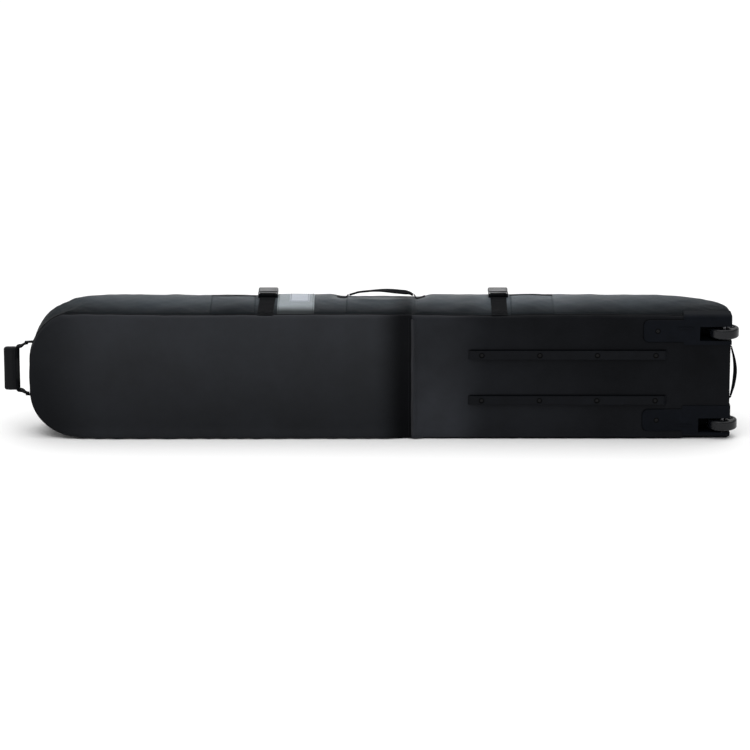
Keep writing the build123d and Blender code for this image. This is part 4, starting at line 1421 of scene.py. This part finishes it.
def islands(node):
    """Low and high corner of every separate solid of a node."""
    mesh = bmesh.new()
    mesh.from_mesh(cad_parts[node].data)
    bmesh.ops.remove_doubles(mesh, verts=mesh.verts, dist=1e-6)
    left, boxes = set(mesh.verts), []
    while left:
        reach, found = [left.pop()], []
        while reach:
            vertex = reach.pop()
            found.append(tuple(vertex.co))
            for edge in vertex.link_edges:
                other = edge.other_vert(vertex)
                if other in left:
                    left.remove(other)
                    reach.append(other)
        boxes.append((np.min(found, axis=0), np.max(found, axis=0)))
    mesh.free()
    return sorted(boxes, key=lambda box: (box[0][2], box[0][0]))


def ring_line(x, z, y, radius, count=24):
    angle = np.linspace(0, 2 * math.pi, count)
    return np.column_stack([x + radius * np.cos(angle), np.full(count, y), z + radius * np.sin(angle)])


def screw_shade_rings():
    """Painted shade ring round every screw head, a dark ring standing for the shadow in its recess, and a cap
    over its end inside the bag.
    """
    skid_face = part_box("lower_skid_rail")[0].y
    cap_radius = [0.0055, 0.0055, 0.0044]
    for node in ("skid_screws", "housing_screws"):
        for number, (low, high) in enumerate(islands(node)):
            x, z = (low[0] + high[0]) / 2, (low[2] + high[2]) / 2
            face = skid_face if node == "skid_screws" else low[1]
            y = max(high[1], BASE_Y + WALL) + 0.0012
            cap = [(x, BASE_Y + WALL - 0.001, z), (x, y - 0.0006, z), (x, y, z)]
            sweep(f"{node}_cap_{number}", cap, (1, 0, 0), cap_radius, cap_radius, "hub_plastic", power=2,
                  ring=20, record_slot="screw_steel")
            path = ring_line(x, z, face - 0.0002, (high[0] - low[0]) / 2 + 0.0012)
            sweep(f"{node}_shade_ring_{number}", path, path - np.array([x, face, z]), 0.0014, 0.0005,
                  "shadow_rubber", power=2, ring=8, record_slot="screw_steel")


def shadow_line_strip(name, points, half_width, y):
    """Thin dark strip of painted shadow where a moulded part meets the cloth."""
    path = resample(np.array([(x, y, z) for x, z in points]), max(8, int(len(points) * 8)))
    sweep(name, path, (0, -1, 0), 0.0012, half_width, "shadow_rubber", power=2, ring=8,
          record_slot="skid_plastic")


def painted_shadow_lines():
    """Painted shadow lines at each skid and round each housing finger."""
    for side in SIDES:
        low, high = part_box(side + "_skid_rail")
        for edge, z, size in (("top", high.z + 0.0006, 0.0015), ("bottom", low.z - 0.0004, 0.0007)):
            ends = [(low.x + 0.004, z), ((low.x + high.x) / 2, z), (high.x - 0.004, z)]
            shadow_line_strip(f"{side}_skid_shadow_{edge}", ends, size, BASE_Y)
        housing_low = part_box(side + "_wheel_housing")[0]
        z0, z1 = FINGER_Z[side]
        x0, corner = housing_low.x - 0.0006, 0.014
        turns = []
        for start, z in ((math.pi / 2, z1 - corner), (math.pi, z0 + corner)):
            for a in np.linspace(start, start + math.pi / 2, 8):
                turns.append((x0 + corner + corner * math.cos(a), z + corner * math.sin(a)))
        line = [(HOUSING_X - 0.004, z1)] + turns + [(HOUSING_X - 0.004, z0)]
        shadow_line_strip(side + "_finger_shadow", line, 0.0009, BASE_Y)


screw_shade_rings()
painted_shadow_lines()


def inner_straps():
    """Hold-down webbing lying on the floor lining of the bag."""
    low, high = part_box("inner_straps")
    for name, x in (("nose", low.x + 0.0125), ("tail", high.x - 0.0125)):
        zs = np.linspace(low.z, high.z, 60)
        ys = low.y + 0.0012 + 0.0012 * np.sin(zs * 40) ** 2
        path = np.column_stack([np.full(60, x), ys, zs])
        sweep("inner_webbing_" + name, path, (1, 0, 0), 0.0125, 0.0007, "webbing", power=7,
              replaces=("inner_straps",))


inner_straps()


# ---------------------------------------------------------------- stage, light and camera
def stage():
    corners = [(-30, -30, 0), (30, -30, 0), (30, 30, 0), (-30, 30, 0)]
    floor = new_object("floor", corners, [(0, 1, 2, 3)], smooth=False)
    paper = Look("floor_paper")
    paper.shader.inputs["Base Color"].default_value = (0.93, 0.93, 0.93, 1)
    paper.shader.inputs["Roughness"].default_value = 0.85
    paper.shader.inputs["Specular IOR Level"].default_value = 0.2
    floor.data.materials.append(paper.material)
    floor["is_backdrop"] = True
    world = bpy.data.worlds.new("studio")
    bpy.context.scene.world = world
    world.use_nodes = True
    world.node_tree.nodes["Background"].inputs[0].default_value = (1.0, 1.0, 1.0, 1)
    world.node_tree.nodes["Background"].inputs[1].default_value = 0.50
    sky = bpy.data.lights.new("overhead_light", "SUN")
    sky.energy, sky.angle = 2.1, math.radians(80)
    overhead = place_in_scene(bpy.data.objects.new("overhead_light", sky))
    overhead.rotation_euler = (math.radians(-4), math.radians(6), 0)
    overhead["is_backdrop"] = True
    softbox("back_light", (0.12, 5.0, 1.15), (1.6, 0.5), 16, (0.05, 0.0, 0.3))
    softbox("front_light", (-0.5, -1.5, 1.65), (1.8, 0.5), 9, (-0.3, -0.1, 0.2))


def aim(piece, place, target):
    piece.location = place
    piece.rotation_euler = (Vector(target) - Vector(place)).to_track_quat("-Z", "Y").to_euler()


def softbox(name, place, size, power, target):
    light = bpy.data.lights.new(name, "AREA")
    light.shape = "RECTANGLE"
    light.size, light.size_y = size
    light.energy = power
    lamp = place_in_scene(bpy.data.objects.new(name, light))
    aim(lamp, place, target)
    lamp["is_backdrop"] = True


def camera():
    """Long lens from the front, looking down a little, as in the photo."""
    target = Vector((-0.012, BASE_Y, 0.159))
    elevation, distance = math.radians(15.0), 9.4
    lens = bpy.data.cameras.new("front_camera")
    lens.lens, lens.sensor_width = 188.0, 36.0
    lens.clip_end = 100
    view = place_in_scene(bpy.data.objects.new("front_camera", lens))
    aim(view, target + distance * Vector((0, -math.cos(elevation), math.sin(elevation))), target)
    bpy.context.scene.camera = view


stage()
camera()
bpy.context.scene.view_settings.view_transform = "Standard"

low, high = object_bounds()
